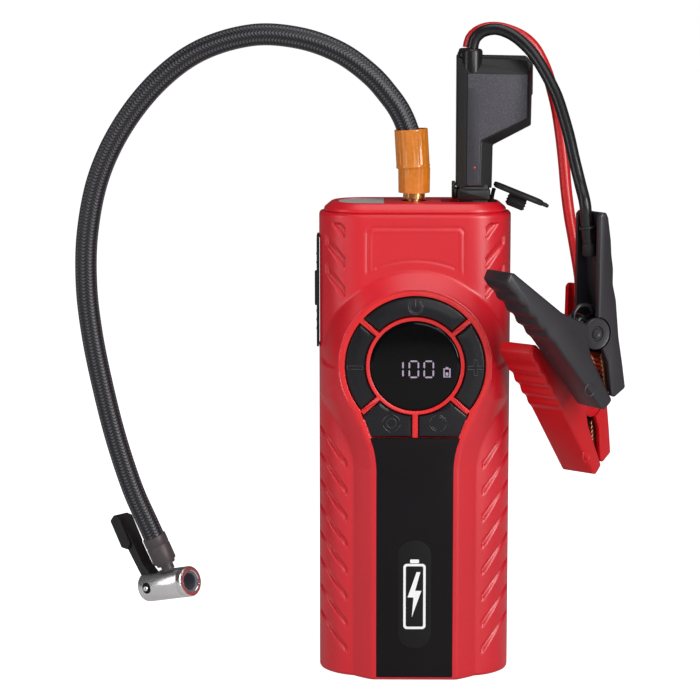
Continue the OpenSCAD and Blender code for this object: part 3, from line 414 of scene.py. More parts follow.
def front_shell():
    c = front_cols(); z = np.concatenate([np.arange(0, 3, 0.5), np.arange(3, 206, 0.55), np.arange(206, 210.01, 0.4)])
    z = np.append(z[z < 209.95], 210.0)
    X, Z = np.meshgrid(c[:, 0], z); Y0 = np.meshgrid(c[:, 1], z)[0]; NX = np.meshgrid(c[:, 2], z)[0]; NY = np.meshgrid(c[:, 3], z)[0]
    ax = np.abs(X); r = np.hypot(X, Z - DZ)
    # round boss
    t1 = scl((41.4 - r) / 7.2, 0.05)
    # strip and swoop
    s = np.clip((Z - 96.0) / 29.0, 0, 1.6)
    Wo = 27.6 + 13.8 * s ** 1.9
    Wi = np.interp(Z, [0, 97, 105.4, 112, 122.8, 128, 134, 143.4], [19.2, 19.2, 20.4, 22.8, 27.3, 30.5, 32.9, 34.2])
    Wo = np.maximum(np.minimum(Wo, 44), Wi + 7)
    t2 = scl((Wo - ax) / (Wo - Wi), 0.05) * (1 - sst(DZ - 1.5, DZ + 1.5, Z))
    t = np.maximum(t1, t2)
    Y = Y0 + (FY - Y0) * t
    side = sst(41.2, 43.0, ax)
    Y = Y * (1 - side) + Y0 * side
    # thin ridge along the inner edge of the boss
    Y -= 0.5 * np.exp(-((r - 34.1) / 0.4) ** 2) * sst(DZ - 18, DZ - 10, Z)
    # recess under the dial and the panel
    rec = np.maximum(1 - sst(32.4, 33.2, r), 0)
    neck = np.interp(Z, [0, 98.4, 105.4, 112, 122.8], [17.2, 17.2, 18.2, 20.4, 24.2])
    rec2 = (1 - sst(neck - 1.2, neck - 0.6, ax)) * (1 - sst(122, 123, Z)) * sst(1.6, 2.2, Z)
    deep = np.maximum(rec * 2.9, rec2 * np.where(Z > 110.8, 2.9, 1.2))
    Y += deep
    # framed field above the dial
    fx = 21.6
    inx = 1 - sst(fx - 0.2, fx + 0.2, ax)
    top = 204.4; arc = DZ + np.sqrt(np.maximum(0, 46.4 ** 2 - X ** 2))
    def rrd(zc, hh, w, rr_):
        dx = np.maximum(ax - (w - rr_), 0); dz = np.maximum(np.abs(Z - zc) - (hh - rr_), 0)
        return np.hypot(dx, dz) - rr_
    dfr = rrd(193.4, 11.0, 21.6, 3.2)
    cutz = Z > 184.0
    line = np.exp(-(dfr / 0.36) ** 2) * (Z > 181.5) * np.where(Z < 185, np.exp(-((ax - 21.6) / 0.42) ** 2), 1)
    line2 = np.exp(-(rrd(193.2, 9.4, 20.0, 1.6) / 0.5) ** 2) * (Z > 184.6) * np.where(Z < 186.5, np.exp(-((ax - 20.0) / 0.5) ** 2), 1)
    la = np.exp(-((Z - arc) / 0.42) ** 2) * (ax < 17.8)
    Y += 0.4 * np.maximum(line, la) - 0.22 * line2
    Y += 0.0
    # grips
    g = groove_depth(X, Z)
    X = X - NX * g; Y = Y - NY * g
    # rounded bottom and top edges
    def edge(zz, r0, top_):
        if top_: return np.where(zz > 210 - r0, r0 - np.sqrt(np.maximum(0, r0 ** 2 - (zz - (210 - r0)) ** 2)), 0)
        return np.where(zz < r0, r0 - np.sqrt(np.maximum(0, r0 ** 2 - (r0 - zz) ** 2)), 0)
    e = edge(Z, 1.6, False) + edge(Z, 1.4, True)
    X = X - NX * e; Y = Y - NY * e
    rows, cols = X.shape
    V = np.stack([X.ravel(), Y.ravel(), Z.ravel()], 1)
    F = []
    for i in range(rows - 1):
        for j in range(cols - 1):
            if c[j, 0] < 0 and c[j, 1] > -6.05 and 150.0 <= (z[i] + z[i + 1]) / 2 <= 198.0: continue      # side port opening
            a = i * cols + j
            F.append((a, a + 1, a + cols + 1, a + cols))
    V = list(map(tuple, V))
    # floor of the half shell
    F.append(tuple(range(cols)))
    n0 = len(V)
    # inner lip at the top
    for j in range(cols):
        x, y = V[(rows - 1) * cols + j][:2]
        V.append((x - c[j, 2] * 1.2, y - c[j, 3] * 1.2, 210.0))
    for j in range(cols):
        x, y = V[n0 + j][:2]; V.append((x, y, 205.5))
    for j in range(cols - 1):
        a = (rows - 1) * cols + j
        F.append((a, a + 1, n0 + j + 1, n0 + j))
        F.append((n0 + j, n0 + j + 1, n0 + cols + j + 1, n0 + cols + j))
    return np.array(V), F

shell = make("shell_front", front_shell(), M["red"], replaces=("front_shell",), angle=60)
md = shell.modifiers.new("wall", 'SOLIDIFY'); md.thickness = 0.0016; md.offset = -1

def rear_shell():
    c = []
    c += [(-43.0, 0.0, -1, 0), (-43, 2, -1, 0)]
    for k in range(1, 25):
        a = rad(180) - rad(90) * k / 24; c.append((-23 + 20 * math.cos(a), 2 + 20 * math.sin(a), math.cos(a), math.sin(a)))
    for k in range(1, 24): c.append((-23 + 46 * k / 24, 22, 0, 1))
    for k in range(0, 25):
        a = rad(90) - rad(90) * k / 24; c.append((23 + 20 * math.cos(a), 2 + 20 * math.sin(a), math.cos(a), math.sin(a)))
    c += [(43.0, 0.0, 1, 0)]
    c = np.array(c)
    z = np.array([0, 0.25, 0.6, 1.1, 1.6] + list(np.arange(4, 208, 4)) + [208.6, 209.2, 209.7, 210.0])
    V = []; F = []; cols = len(c); rows = len(z)
    for zz in z:
        e = 0
        if zz < 1.6: e = 1.6 - math.sqrt(max(0, 1.6 ** 2 - (1.6 - zz) ** 2))
        if zz > 208.6: e = 1.4 - math.sqrt(max(0, 1.4 ** 2 - (zz - 208.6) ** 2))
        for q in c: V.append((q[0] - q[2] * e, q[1] - q[3] * e, zz))
    for i in range(rows - 1):
        for j in range(cols - 1):
            a = i * cols + j; F.append((a, a + 1, a + cols + 1, a + cols))
    F.append(tuple(range(cols)))
    n0 = len(V)
    for j in range(cols):
        x, y, _ = V[(rows - 1) * cols + j]; V.append((x - c[j, 2] * 1.2, y - c[j, 3] * 1.2, 210.0))
    for j in range(cols):
        x, y, _ = V[n0 + j]; V.append((x, y, 205.5))
    for j in range(cols - 1):
        a = (rows - 1) * cols + j
        F.append((a, a + 1, n0 + j + 1, n0 + j)); F.append((n0 + j, n0 + j + 1, n0 + cols + j + 1, n0 + cols + j))
    return np.array(V), F
rear = make("shell_rear", rear_shell(), M["red"], replaces=("rear_shell",), angle=50)
md = rear.modifiers.new("wall", 'SOLIDIFY'); md.thickness = 0.0016; md.offset = -1
cut(rear, join([box(-48, -3, 150, -38, 6, 198)] + [box(-14, 17, 150 + 5 * k, 14, 25, 152 + 5 * k) for k in range(6)] +
               [xf(lathe([(0, 8), (3, 8), (3, 28), (0, 28)], 32), tr(x, 0, z) @ rx(-90)) for x in (-32.5, 32.5) for z in (14, 186)]))
rear.modifiers.remove(rear.modifiers["wall"])
make("rear_bosses", join([xf(lathe([(3.0, 8), (3.0, 16.6), (4.3, 16.6), (4.3, 7.2), (1.7, 7.2), (1.7, 8)], 32, True), tr(x, 0, z) @ rx(-90)) for x in (-32.5, 32.5) for z in (14, 186)]), M["red"], angle=40)

# ---------------------------------------------------------------- dial bezel, ring and spokes
def arcpts(r, a0, a1, n, cz=DZ): return [(r * math.cos(rad(a0 + (a1 - a0) * k / n)), cz + r * math.sin(rad(a0 + (a1 - a0) * k / n))) for k in range(n + 1)]
outer = arcpts(33.5, -36.5, 216.5, 120)
inner = arcpts(31.3, 220.4, -40.4, 124)
hs = outer + [(-23.9, DZ - 27.5), (-22.3, DZ - 31.4), (-21.2, 108.6), (-19.2, 108.6), (-20.15, DZ - 32.2), (-20.4, DZ - 31.4), (-24.0, DZ - 21.0)] + inner + \
    [(24.0, DZ - 21.0), (20.4, DZ - 31.4), (20.15, DZ - 32.2), (19.2, 108.6), (21.2, 108.6), (22.3, DZ - 31.4), (23.9, DZ - 27.5)]
parts = [prism(hs, FY - 0.12, FY + 2.8, 0.28, b2=0)]
ro = [(21.8, 2.8), (21.8, 0.15), (21.68, 0.0), (20.4, 0.0), (20.2, 0.15), (20.2, 2.8)]
parts.append(xf(lathe(ro, 128, True), tr(0, FY, DZ) @ rx(-90) @ Matrix.Scale(1, 4)))
for a in (40.2, 139.8, 221.7, 318.3):
    parts.append(xf(rbox(21.5, 0.05, -1.1, 31.6, 2.8, 1.1, 0.05, 0.2), tr(0, FY, DZ) @ ry(-a)))
parts.append(rbox(-1.2, FY + 0.05, DZ - 32.2, 1.2, FY + 2.8, DZ - 21.5, 0.3, 0.25))
make("dial_bezel", join(parts), M["red_hard"], angle=40)

# ---------------------------------------------------------------- keys
def patch(top, bot, left, right, n, m, y, crown=0.35, fil=0.7, depth=2.2):
    """Coons patch of a key face in X and Z with a crowned, rounded face; walls behind"""
    def at(P, t):
        P = np.array(P); L = np.concatenate([[0], np.cumsum(np.linalg.norm(np.diff(P, axis=0), axis=1))]); L /= L[-1]
        return np.array([np.interp(t, L, P[:, 0]), np.interp(t, L, P[:, 1])])
    G = np.zeros((n + 1, m + 1, 2))
    for i in range(n + 1):
        for j in range(m + 1):
            u = j / m; v = i / n
            a, b, l, r_ = at(bot, u), at(top, u), at(left, v), at(right, v)
            c00, c10, c01, c11 = at(bot, 0), at(bot, 1), at(top, 0), at(top, 1)
            G[i, j] = (1 - v) * a + v * b + (1 - u) * l + u * r_ - ((1 - u) * (1 - v) * c00 + u * (1 - v) * c10 + (1 - u) * v * c01 + u * v * c11)
    B = np.concatenate([G[0], G[:, -1], G[-1], G[:, 0]])
    V = []; F = []
    for i in range(n + 1):
        for j in range(m + 1):
            d = np.min(np.linalg.norm(B - G[i, j], axis=1))
            f = fil - math.sqrt(max(0, fil ** 2 - (fil - min(d, fil)) ** 2))
            V.append((G[i, j, 0], y - crown * min(1, d / 4.0) ** 0.7 + f, G[i, j, 1]))
    for i in range(n):
        for j in range(m):
            a = i * (m + 1) + j; F.append((a, a + 1, a + m + 2, a + m + 1))
    ring_ = [j for j in range(m + 1)] + [i * (m + 1) + m for i in range(1, n + 1)] + [n * (m + 1) + j for j in range(m - 1, -1, -1)] + [i * (m + 1) for i in range(n - 1, 0, -1)]
    k0 = len(V)
    for q in ring_: V.append((V[q][0], y + depth, V[q][2]))
    L = len(ring_)
    for q in range(L):
        F.append((ring_[q], ring_[(q + 1) % L], k0 + (q + 1) % L, k0 + q))
    F.append(tuple(range(k0, k0 + L)))
    return np.array(V), F

def sector_key(a0, a1, n=14, m=60):
    ri, ro_ = 22.15, 30.95
    def off(r): return math.degrees(math.asin(1.42 / r))
    bot = [(ri * math.cos(rad(a)), DZ + ri * math.sin(rad(a))) for a in np.linspace(a1 - off(ri), a0 + off(ri), 60)]
    top = [(ro_ * math.cos(rad(a)), DZ + ro_ * math.sin(rad(a))) for a in np.linspace(a1 - off(ro_), a0 + off(ro_), 60)]
    return patch(top, bot, [bot[0], top[0]], [bot[-1], top[-1]], n, m, FY - 0.02)

def low_key(s):
    ri = 22.15
    a0 = math.degrees(math.asin(1.55 / ri)); off = math.degrees(math.asin(1.42 / ri))
    top = [(ri * math.sin(rad(a)), DZ - ri * math.cos(rad(a))) for a in np.linspace(a0, 48.3 - off, 30)]
    e = top[-1]; k = (23.35, DZ - 22.4)
    bot = [(1.55, DZ - 31.95), (19.85, DZ - 31.95)]
    left = [bot[0], top[0]]; right = [bot[1], k, e]
    if s < 0: top, bot, left, right = [(-x, z) for x, z in top], [(-x, z) for x, z in bot], [(-x, z) for x, z in left], [(-x, z) for x, z in right]
    return patch(top, bot, left, right, 16, 30, FY - 0.02)

def cone(part):
    """key faces fall away outwards"""
    v, f = part
    v = np.array(v, float); v[:, 1] += 0.1 * (np.hypot(v[:, 0], v[:, 2] - DZ) - 26.5) * np.clip(FY + 1.0 - v[:, 1], 0, 1)
    return v, f
for nm, a0, a1 in (("power", 40.2, 139.8), ("minus", 139.8, 221.7), ("plus", -41.7, 40.2)):
    make(nm + "_key_cap", cone(sector_key(a0, a1)), M["key"], body=nm + "_key", replaces=(nm + "_button",), angle=50)
for nm, s in (("mode", -1), ("lamp", 1)):
    make(nm + "_key_cap", cone(low_key(s)), M["key"], body=nm + "_key", replaces=(nm + "_button",), angle=50)

def ring_icon(x, z, r, w, a0=0, a1=360, n=40, y=FY - 0.53, h=0.14):
    P = [(x + r * math.cos(rad(a0 + (a1 - a0) * k / n)), y, z + r * math.sin(rad(a0 + (a1 - a0) * k / n))) for k in range(n + 1)]
    return tube(P, w / 2, 8)
def bar_icon(x0, z0, x1, z1, w, y=FY - 0.53): return tube([(x0, y, z0), ((x0 + x1) / 2, y, (z0 + z1) / 2), (x1, y, z1)], w / 2, 8)
ic = dict(material=M["keyicon"], slot="black_plastic", angle=60)
def icon(name, part, body): make(name, cone(part), M["keyicon"], body=body, angle=60)
icon("power_mark", join([ring_icon(0, DZ + 26.5, 3.2, 0.42, 120, 420), ring_icon(0, DZ + 26.5, 2.5, 0.34, 125, 415), bar_icon(0, DZ + 26.6, 0, DZ + 30.0, 0.42)]), "power_key")
def outline(pts, w=0.42): return join([bar_icon(*pts[i], *pts[(i + 1) % len(pts)], w) for i in range(len(pts))])
icon("minus_mark", outline([(-30.0, DZ - 1.3), (-23.4, DZ - 1.3), (-23.4, DZ + 0.2), (-30.0, DZ + 0.2)], 0.36), "minus_key")
icon("plus_mark", outline([(23.4, DZ - 1.3), (25.9, DZ - 1.3), (25.9, DZ - 4.0), (27.4, DZ - 4.0), (27.4, DZ - 1.3), (30.0, DZ - 1.3), (30.0, DZ + 0.2), (27.4, DZ + 0.2), (27.4, DZ + 2.9), (25.9, DZ + 2.9), (25.9, DZ + 0.2), (23.4, DZ + 0.2)], 0.36), "plus_key")
icon("mode_mark", join([ring_icon(-10.5, DZ - 25.5, 2.1, 0.4)] + [ring_icon(-10.5, DZ - 25.5, 3.8, 0.4, a, a + 62, 16) for a in (14, 104, 194, 284)] +
     [bar_icon(-10.5 + 3.9 * math.cos(rad(a)), DZ - 25.5 + 3.9 * math.sin(rad(a)), -10.5 + 4.6 * math.cos(rad(a + 4)), DZ - 25.5 + 4.6 * math.sin(rad(a + 4)), 0.38) for a in (76, 166, 256, 346)]), "mode_key")
icon("lamp_mark", join([ring_icon(10.1, DZ - 25.5, 3.7, 0.4, a, a + 66, 16) for a in (12, 102, 192, 282)] + [ring_icon(10.1, DZ - 25.5, 2.9, 0.34, a, a + 50, 12) for a in (30, 210)]), "lamp_key")

# ---------------------------------------------------------------- lens and digits
prof = [(0, -0.75)] + [(r_, -0.75 + 0.5 * (r_ / 20.0) ** 2.4) for r_ in (4, 8, 11, 13.5, 15.5, 17, 18.2, 19)] + [(19.6, -0.1), (19.95, 0.2), (20.0, 0.5), (20.0, 2.0), (0, 2.0)]
make("display_window", xf(lathe(prof, 128), tr(0, FY + 0.55, DZ) @ rx(-90)), M["gloss"], replaces=("display_lens",), angle=45)
def seg7(x, z, on):
    w, h, t = 4.9, 3.6, 0.7
    y = FY - 0.26
    out = []
    def hor(zc): return prism([(x + 0.75, zc), (x + 1.2, zc + t / 2), (x + w - 1.2, zc + t / 2), (x + w - 0.75, zc), (x + w - 1.2, zc - t / 2), (x + 1.2, zc - t / 2)], y, y + 0.1)
    def ver(xc, z0): return prism([(xc - t / 2, z0 + 0.75), (xc, z0 + 0.3), (xc + t / 2, z0 + 0.75), (xc + t / 2, z0 + h - 0.75), (xc, z0 + h - 0.3), (xc - t / 2, z0 + h - 0.75)], y, y + 0.1)
    sg = {"a": lambda: hor(z + 2 * h), "g": lambda: hor(z + h), "d": lambda: hor(z), "f": lambda: ver(x + 0.45, z + h), "b": lambda: ver(x + w - 0.45, z + h), "e": lambda: ver(x + 0.45, z), "c": lambda: ver(x + w - 0.45, z)}
    return [sg[k]() for k in on]
zb = DZ - 4.9
D = seg7(-9.9, zb, "bc") + seg7(-3.1, zb, "abcdef") + seg7(3.5, zb, "abcdef")
D += [prism([(12.4, zb + 0.4), (13.0, zb + 0.4), (13.0, zb + 3.6), (12.4, zb + 3.6)], FY - 0.26, FY - 0.16), prism([(12.4, zb + 3.6), (15.6, zb + 3.6), (15.6, zb + 4.0), (12.4, zb + 4.0)], FY - 0.26, FY - 0.16),
      prism([(12.4, zb), (15.6, zb), (15.6, zb + 0.4), (12.4, zb + 0.4)], FY - 0.26, FY - 0.16), prism([(15.0, zb + 0.4), (15.6, zb + 0.4), (15.6, zb + 3.6), (15.0, zb + 3.6)], FY - 0.26, FY - 0.16),
      prism([(13.4, zb + 4.0), (14.6, zb + 4.0), (14.6, zb + 4.6), (13.4, zb + 4.6)], FY - 0.26, FY - 0.16), prism([(13.4, zb + 0.8), (14.6, zb + 0.8), (14.6, zb + 2.2), (13.4, zb + 2.2)], FY - 0.26, FY - 0.16)]
make("display_digits", join(D), M["digit"], angle=30)

# ---------------------------------------------------------------- black panel and badge
pp = [(-17.2, 1.5, 0.6), (17.2, 1.5, 0.6), (17.2, 98.4, 40), (18.2, 105.4, 30), (20.05, 111.0, 0.2), (-20.05, 111.0, 0.2), (-18.2, 105.4, 30), (-17.2, 98.4, 40)]
make("panel_strip", prism(rpoly(pp, 0.5, 10), FY - 0.1, FY + 1.1, 0.25, b2=0), M["panel"], replaces=("front_panel",), angle=35)
pill = rpoly([(-7.5, 15), (7.5, 15), (7.5, 64.7), (-7.5, 64.7)], 7.45, 24)
pin_ = inset(pill, 0.45)
make("badge", join([prism(pill, FY - 0.3, FY, 0.14, b2=0)]), M["badge"], replaces=("panel_badge",), angle=35)

bolt = [(0.9, 50.2), (-3.1, 38.6), (-0.4, 38.6), (-1.2, 29.4), (3.1, 41.6), (0.3, 41.6), (2.6, 50.2)]
bo = rpoly([(-5.0, 24), (5.0, 24), (5.0, 54), (-5.0, 54)], 1.6, 6); bi = rpoly([(-3.9, 25.1), (3.9, 25.1), (3.9, 52.9), (-3.9, 52.9)], 0.8, 6)
k_ = len(bo); yb = (FY - 0.4, FY - 0.28)
Vb = [(x, y, z) for y in yb for x, z in bo] + [(x, y, z) for y in yb for x, z in bi]
Fb = []
for i in range(k_):
    j = (i + 1) % k_
    Fb += [(i, j, k_ + j, k_ + i), (2 * k_ + i, 3 * k_ + i, 3 * k_ + j, 2 * k_ + j), (i, 2 * k_ + i, 2 * k_ + j, j), (k_ + i, k_ + j, 3 * k_ + j, 3 * k_ + i)]
M["print"] = mat("white_print", (0.86, 0.86, 0.86), 0.45, scale=1500, var=0.03, bump=0.1)
make("badge_mark", join([(np.array(Vb, float), Fb), prism(bolt, FY - 0.4, FY - 0.28), prism(rpoly([(-2, 54.3), (2, 54.3), (2, 56.0), (-2, 56.0)], 0.4), FY - 0.4, FY - 0.28)]), M["print"], angle=30)

# ---------------------------------------------------------------- top cap: lofted sections, then the three openings
def rrect(w, d, r, n=16):
    out = []
    for cx, cy, a in ((w / 2 - r, d / 2 - r, 0), (-w / 2 + r, d / 2 - r, 90), (-w / 2 + r, -d / 2 + r, 180), (w / 2 - r, -d / 2 + r, 270)):
        for k in range(n + 1): out.append((cx + r * math.cos(rad(a + 90 * k / n)), cy + r * math.sin(rad(a + 90 * k / n))))
    return out
def loft(secs):
    V = []; F = []; m = len(secs[0][0])
    for q, z in secs: V += [(x, y, z) for x, y in q]
    for i in range(len(secs) - 1):
        for k in range(m):
            j = (k + 1) % m; F.append((i * m + k, i * m + j, (i + 1) * m + j, (i + 1) * m + k))
    F.append(tuple(range(m))); F.append(tuple(range((len(secs) - 1) * m, len(secs) * m)))
    return np.array(V), F
W, Dp = 86, 44
secs = [(W - 5.4, Dp - 5.4, 17.3, 207.4), (W - 5.4, Dp - 5.4, 17.3, 210.15), (W - 4.9, Dp - 4.9, 17.5, 210.3), (W - 4.4, Dp - 4.4, 17.8, 210.7), (W - 4.4, Dp - 4.4, 17.8, 211.2), (W - 4.9, Dp - 4.8, 17.6, 211.7),
        (W - 5.8, Dp - 5.3, 17.2, 212.1), (W - 10.4, Dp - 8.8, 15, 213.95), (W - 11.2, Dp - 9.4, 14.6, 214.2), (W - 12.2, Dp - 10.2, 14.1, 214.4)]
cap = make("cap", loft([(rrect(w, d, r), z) for w, d, r, z in secs]), M["red"], replaces=("top_cap",), angle=30)
cut(cap, xf(lathe([(0, -9), (5.8, -9), (5.8, 4), (0, 4)], 40), tr(-0.4, 0, 213)))
cut(cap, box(11.6, -8.2, 204, 36.4, 8.2, 218))
tw = [(x, y) for x, y in rrect(W - 17, Dp - 15, 11.4) if x < -13.6]
tw = [(-13.6, 14.5)] + [p for p in tw] + [(-13.6, -14.5)]
cut(cap, loft([([(x, y) for x, y in tw], 204), ([(x, y) for x, y in tw], 218)]))
sharpen(cap, 32)

# ---------------------------------------------------------------- side cover
sc = rpoly([(-7.4, 148.6), (7.4, 148.6), (7.4, 199.4), (-7.4, 199.4)], 3)
cov = prism(sc, 0, 0.95, 0.35, b2=0)
cov = xf(cov, tr(-44.1, 0, 0) @ rz(-90) )
bmp = xf(prism(rpoly([(3.2, 167.6), (7.2, 167.6), (7.2, 183.4), (3.2, 183.4)], 1.6), 0, 1.2, 0.5, b2=0), tr(-44.95, 0, 0) @ rz(-90))
ribs = [xf(prism(rpoly([(-5.6, z0), (1.6, z0), (1.6, z0 + 0.8), (-5.6, z0 + 0.8)], 0.35), 0, 0.5, 0.2, b2=0), tr(-44.4, 0, 0) @ rz(-90)) for z0 in (156, 160, 164, 186, 190)]
make("port_cover_rubber", join([cov, bmp] + ribs), M["rubber"], body="side_cover", replaces=("side_port_cover",), angle=40)

# ---------------------------------------------------------------- outlet nut, sleeve
def knurl(r0, r1, z0, z1, n=46, ch=0.45):
    secs = []
    for z, k in ((z0, 0), (z0 + ch, 1), (z1 - ch, 1), (z1, 0)):
        q = []
        for i in range(n * 4):
            a = 2 * math.pi * i / (n * 4); s = (0, 1, 1, 0)[i % 4]
            rr_ = (r0 + (r1 - r0) * s) if k else r0 - 0.25
            q.append((rr_ * math.cos(a), rr_ * math.sin(a)))
        secs.append((q, z))
    return loft(secs)
nut = xf(knurl(4.5, 4.95, 215.1, 221.2), tr(-0.4, 0, 0))
nut = make("hose_nut", nut, M["brass"], body="coupling_nut", replaces=("hose_coupling",), angle=30)
cut(nut, xf(lathe([(0, 210), (3.56, 210), (3.56, 220.4), (2.9, 220.4), (2.9, 225), (0, 225)], 32), tr(-0.4, 0, 0)))
sharpen(nut, 28)

def sleeve():
    zs = [(-4, 6.2, 7.0), (-3.5, 6.1, 7.05), (6.9, 6.1, 7.05), (7.1, 6.1, 7.35), (7.6, 6.2, 7.6), (8.1, 6.4, 7.6), (8.5, 6.7, 7.45), (9.0, 6.9, 7.35), (23.2, 6.9, 7.35), (23.6, 6.9, 7.5), (24.1, 6.95, 7.5), (24.4, 7.0, 7.3)]
    n = 160; V = []; F = []
    for side in (1, 0):
        for z, ri, ro_ in (zs if side else zs[::-1]):
            for k in range(n):
                a = 2 * math.pi * k / n
                r_ = ro_ if side else ri
                if side and (-3.4 < z < 6.95 or 8.9 < z < 23.4): r_ += 0.13 * math.cos(20 * a) 
                x, y, q = r_ * math.cos(a), r_ * math.sin(a), z
                if z > 7.0:
                    x, q = x * math.cos(rad(3.5)) - (z) * math.sin(rad(3.5)), x * math.sin(rad(3.5)) + z * math.cos(rad(3.5))
                V.append((x - 0.4, y, q + 222))
    R = 2 * len(zs)
    for i in range(R):
        for k in range(n):
            j = (k + 1) % n; i2 = (i + 1) % R
            F.append((i * n + k, i * n + j, i2 * n + j, i2 * n + k))
    return np.array(V), F
make("sleeve_orange", sleeve(), M["orange"], replaces=("hose_sleeve",), angle=50)

# ---------------------------------------------------------------- hose end and chuck
HE = tr(-119, 0, 59.4) @ ry(-23.2) @ rx(180)
fer = [(5.0, -0.6), (5.35, -0.5), (5.5, 0.0), (5.5, 3.6), (5.3, 3.9), (5.3, 4.3), (5.5, 4.6), (5.5, 11.6), (5.3, 12.2), (4.5, 12.4), (4.4, 13.6), (3.0, 13.7), (3.0, 16.4), (0, 16.4), (0, -0.6)]
make("ferrule", xf(lathe(fer, 48), HE), M["ferrule"], replaces=("hose_ferrule",), angle=50)
CF = tr(-112.4, 0, 37.4) @ rz(-38) @ ry(-14)
body = lathe([(0, -14.4), (5.6, -14.3), (6.5, -13.9), (6.9, -13.2), (7.0, -12.2), (7.0, 10.2), (6.85, 10.45), (6.85, 10.8), (7.0, 11.0), (7.0, 13.5), (6.6, 14.0), (5.25, 14.0), (5.2, 13.8), (5.2, 4.0), (0, 4.0)], 64)
ch = make("chuck_barrel", xf(body, CF @ ry(90)), M["chrome"], replaces=("chuck_body",), angle=40)
cut(ch, xf(box(-20, -3.6, -4.5, -3, 3.6, 12.4), CF))
cut(ch, xf(lathe([(0, -12), (1.6, -12), (1.6, 12), (0, 12)], 24), CF @ tr(-8, 0, 0) @ rx(90)))
sharpen(ch, 40)
make("chuck_ring", xf(lathe([(6.3, 13.95), (6.9, 13.6), (7.0, 13.0), (7.0, 11.4), (6.9, 11.1), (5.0, 11.1), (4.85, 13.6), (5.1, 13.9)], 64, True), CF @ ry(90) @ Matrix.Scale(1.004, 4)), M["polish"], angle=40)
make("chuck_washer", xf(lathe([(0, 4.0), (5.1, 4.0), (5.1, 12.9), (4.8, 13.3), (4.2, 13.4), (3.9, 13.1), (3.9, 5.0), (1.2, 5.0), (1.2, 4.6), (0, 4.6)], 48), CF @ ry(90)), M["seal"], replaces=("chuck_seal",), angle=40)
make("chuck_pin_recess", xf(lathe([(1.3, 6.2), (2.5, 6.2), (2.55, 7.02), (2.3, 7.12), (1.3, 6.95)], 32, True), CF @ tr(-8, 0, 0) @ rx(90)), M["gloss"], angle=40)
make("chuck_rivet", xf(lathe([(0, -7.4), (1.3, -7.2), (1.3, 7.0), (1.35, 7.6), (1.1, 8.2), (0.6, 8.55), (0, 8.6)], 32), CF @ tr(-8, 0, 0) @ rx(90)), M["polish"], replaces=("chuck_pin",), angle=40)
LV = CF @ tr(-8, 0, 0)
lev = [(-3.3, -0.6, 2.5), (-4.4, 2.8, 1.4), (-7.1, 9, 8), (-11.6, 20, 6), (-14.4, 31, 3), (-11.8, 32.6, 1), (-7.4, 22.8, 8), (-3.0, 10.4, 6), (2.4, 3.0, 2.0), (2.6, -2.4, 2.2), (-1.6, -3.1, 2)]
pad = [(-9.9, 18.6, 0.8), (-13.6, 20.0, 0.8), (-17.6, 33, 0.9), (-14.6, 35.4, 1.0), (-11.4, 33.9, 1.2), (-7.6, 21, 2)]
cl = make("chuck_thumb_lever", xf(join([prism(rpoly(lev, 1.0, 6), -3.15, 3.15, 0.35)]), LV), M["black"], body="chuck_thumb_lever", replaces=("chuck_lever",), angle=40)
make("chuck_thumb_pad", xf(join([prism(rpoly(pad, 1.0, 6), -4.6, 4.6, 0.45)] ), LV), M["black"], body="chuck_thumb_lever", angle=40)

# ---------------------------------------------------------------- lead module
O = [(18.4, 220.4), (34.2, 220.4), (34.5, 239.6), (51.4, 248.4), (51.8, 275.4), (49.6, 277.6), (18.4, 278.4)]
I = [(22.6, 221.4), (28.8, 221.4), (29.2, 241.5), (49.9, 251.4), (49.9, 271.0), (49.2, 271.3), (22.6, 271.6)]
V = [(x, -0.1, z) for x, z in O] + [(x, -5.0, z) for x, z in O] + [(x, -8.6, z) for x, z in I]
F = [tuple(range(7)), tuple(range(14, 21))] + [(r_ * 7 + i, r_ * 7 + (i + 1) % 7, (r_ + 1) * 7 + (i + 1) % 7, (r_ + 1) * 7 + i) for r_ in (0, 1) for i in range(7)]
make("module_cover", (np.array(V, float), F), M["modrear"], replaces=("module_front",), bevel=0.55, seg=3)
face = [(23.1, 221.9), (28.4, 221.9), (28.7, 241.9), (49.4, 251.8), (49.4, 270.6), (48.9, 270.9), (26.6, 271.2), (23.1, 271.2)]
make("module_face", prism(rpoly(face, 0.8, 4), -8.78, -8.5, 0.12, b2=0), M["module"], angle=40)
make("module_face_band", prism(rpoly([(23.35, 222.2), (28.1, 222.2), (28.1, 262), (26.6, 265), (23.35, 265)], 0.4, 4), -8.86, -8.7, 0.06, b2=0), M["band"], angle=40)
R1 = [(18.4, 220.4, .6), (34.2, 220.4, .6), (34.6, 239.6, 2), (51.4, 248.4, 1), (51.4, 260.6, .4), (52.4, 262, .6), (52.4, 276, 1.5), (49.4, 278.8, 1.5), (18.4, 279.4, .8)]
make("module_back", prism(rpoly(R1, 1, 4), 0.1, 9.0, 0.4, b2=1.0), M["modrear"], replaces=("module_rear",), angle=40)
make("module_led", xf(lathe([(0, -0.45), (0.3, -0.4), (0.45, -0.1), (0.45, 0.9), (0, 0.9)], 20), tr(26.4, -8.6, 229.8) @ rx(-90)), M["led"])
gl = [xf(loft([(rrect(9.6, 13.0, 3), 278.6), (rrect(9.8, 13.2, 3), 279.0), (rrect(9.4, 12.8, 3), 280.4), (rrect(8.4, 11.6, 2.6), 280.9)]), tr(23.6, 0.4, 0))]
gl.append(xf(lathe([(0, 264.0), (3.2, 264.1), (4.2, 264.8), (4.55, 266.2), (4.7, 272), (4.75, 280.6), (4.5, 281.6), (3.9, 282.1), (2.9, 282.3), (0, 282.3)], 48), tr(25.0, -3.9, 0)))
gl.append(xf(lathe([(0, 274), (4.0, 274), (4.1, 281.2), (3.8, 282.0), (2.9, 282.3), (0, 282.3)], 48), tr(23.4, 3.4, 0)))
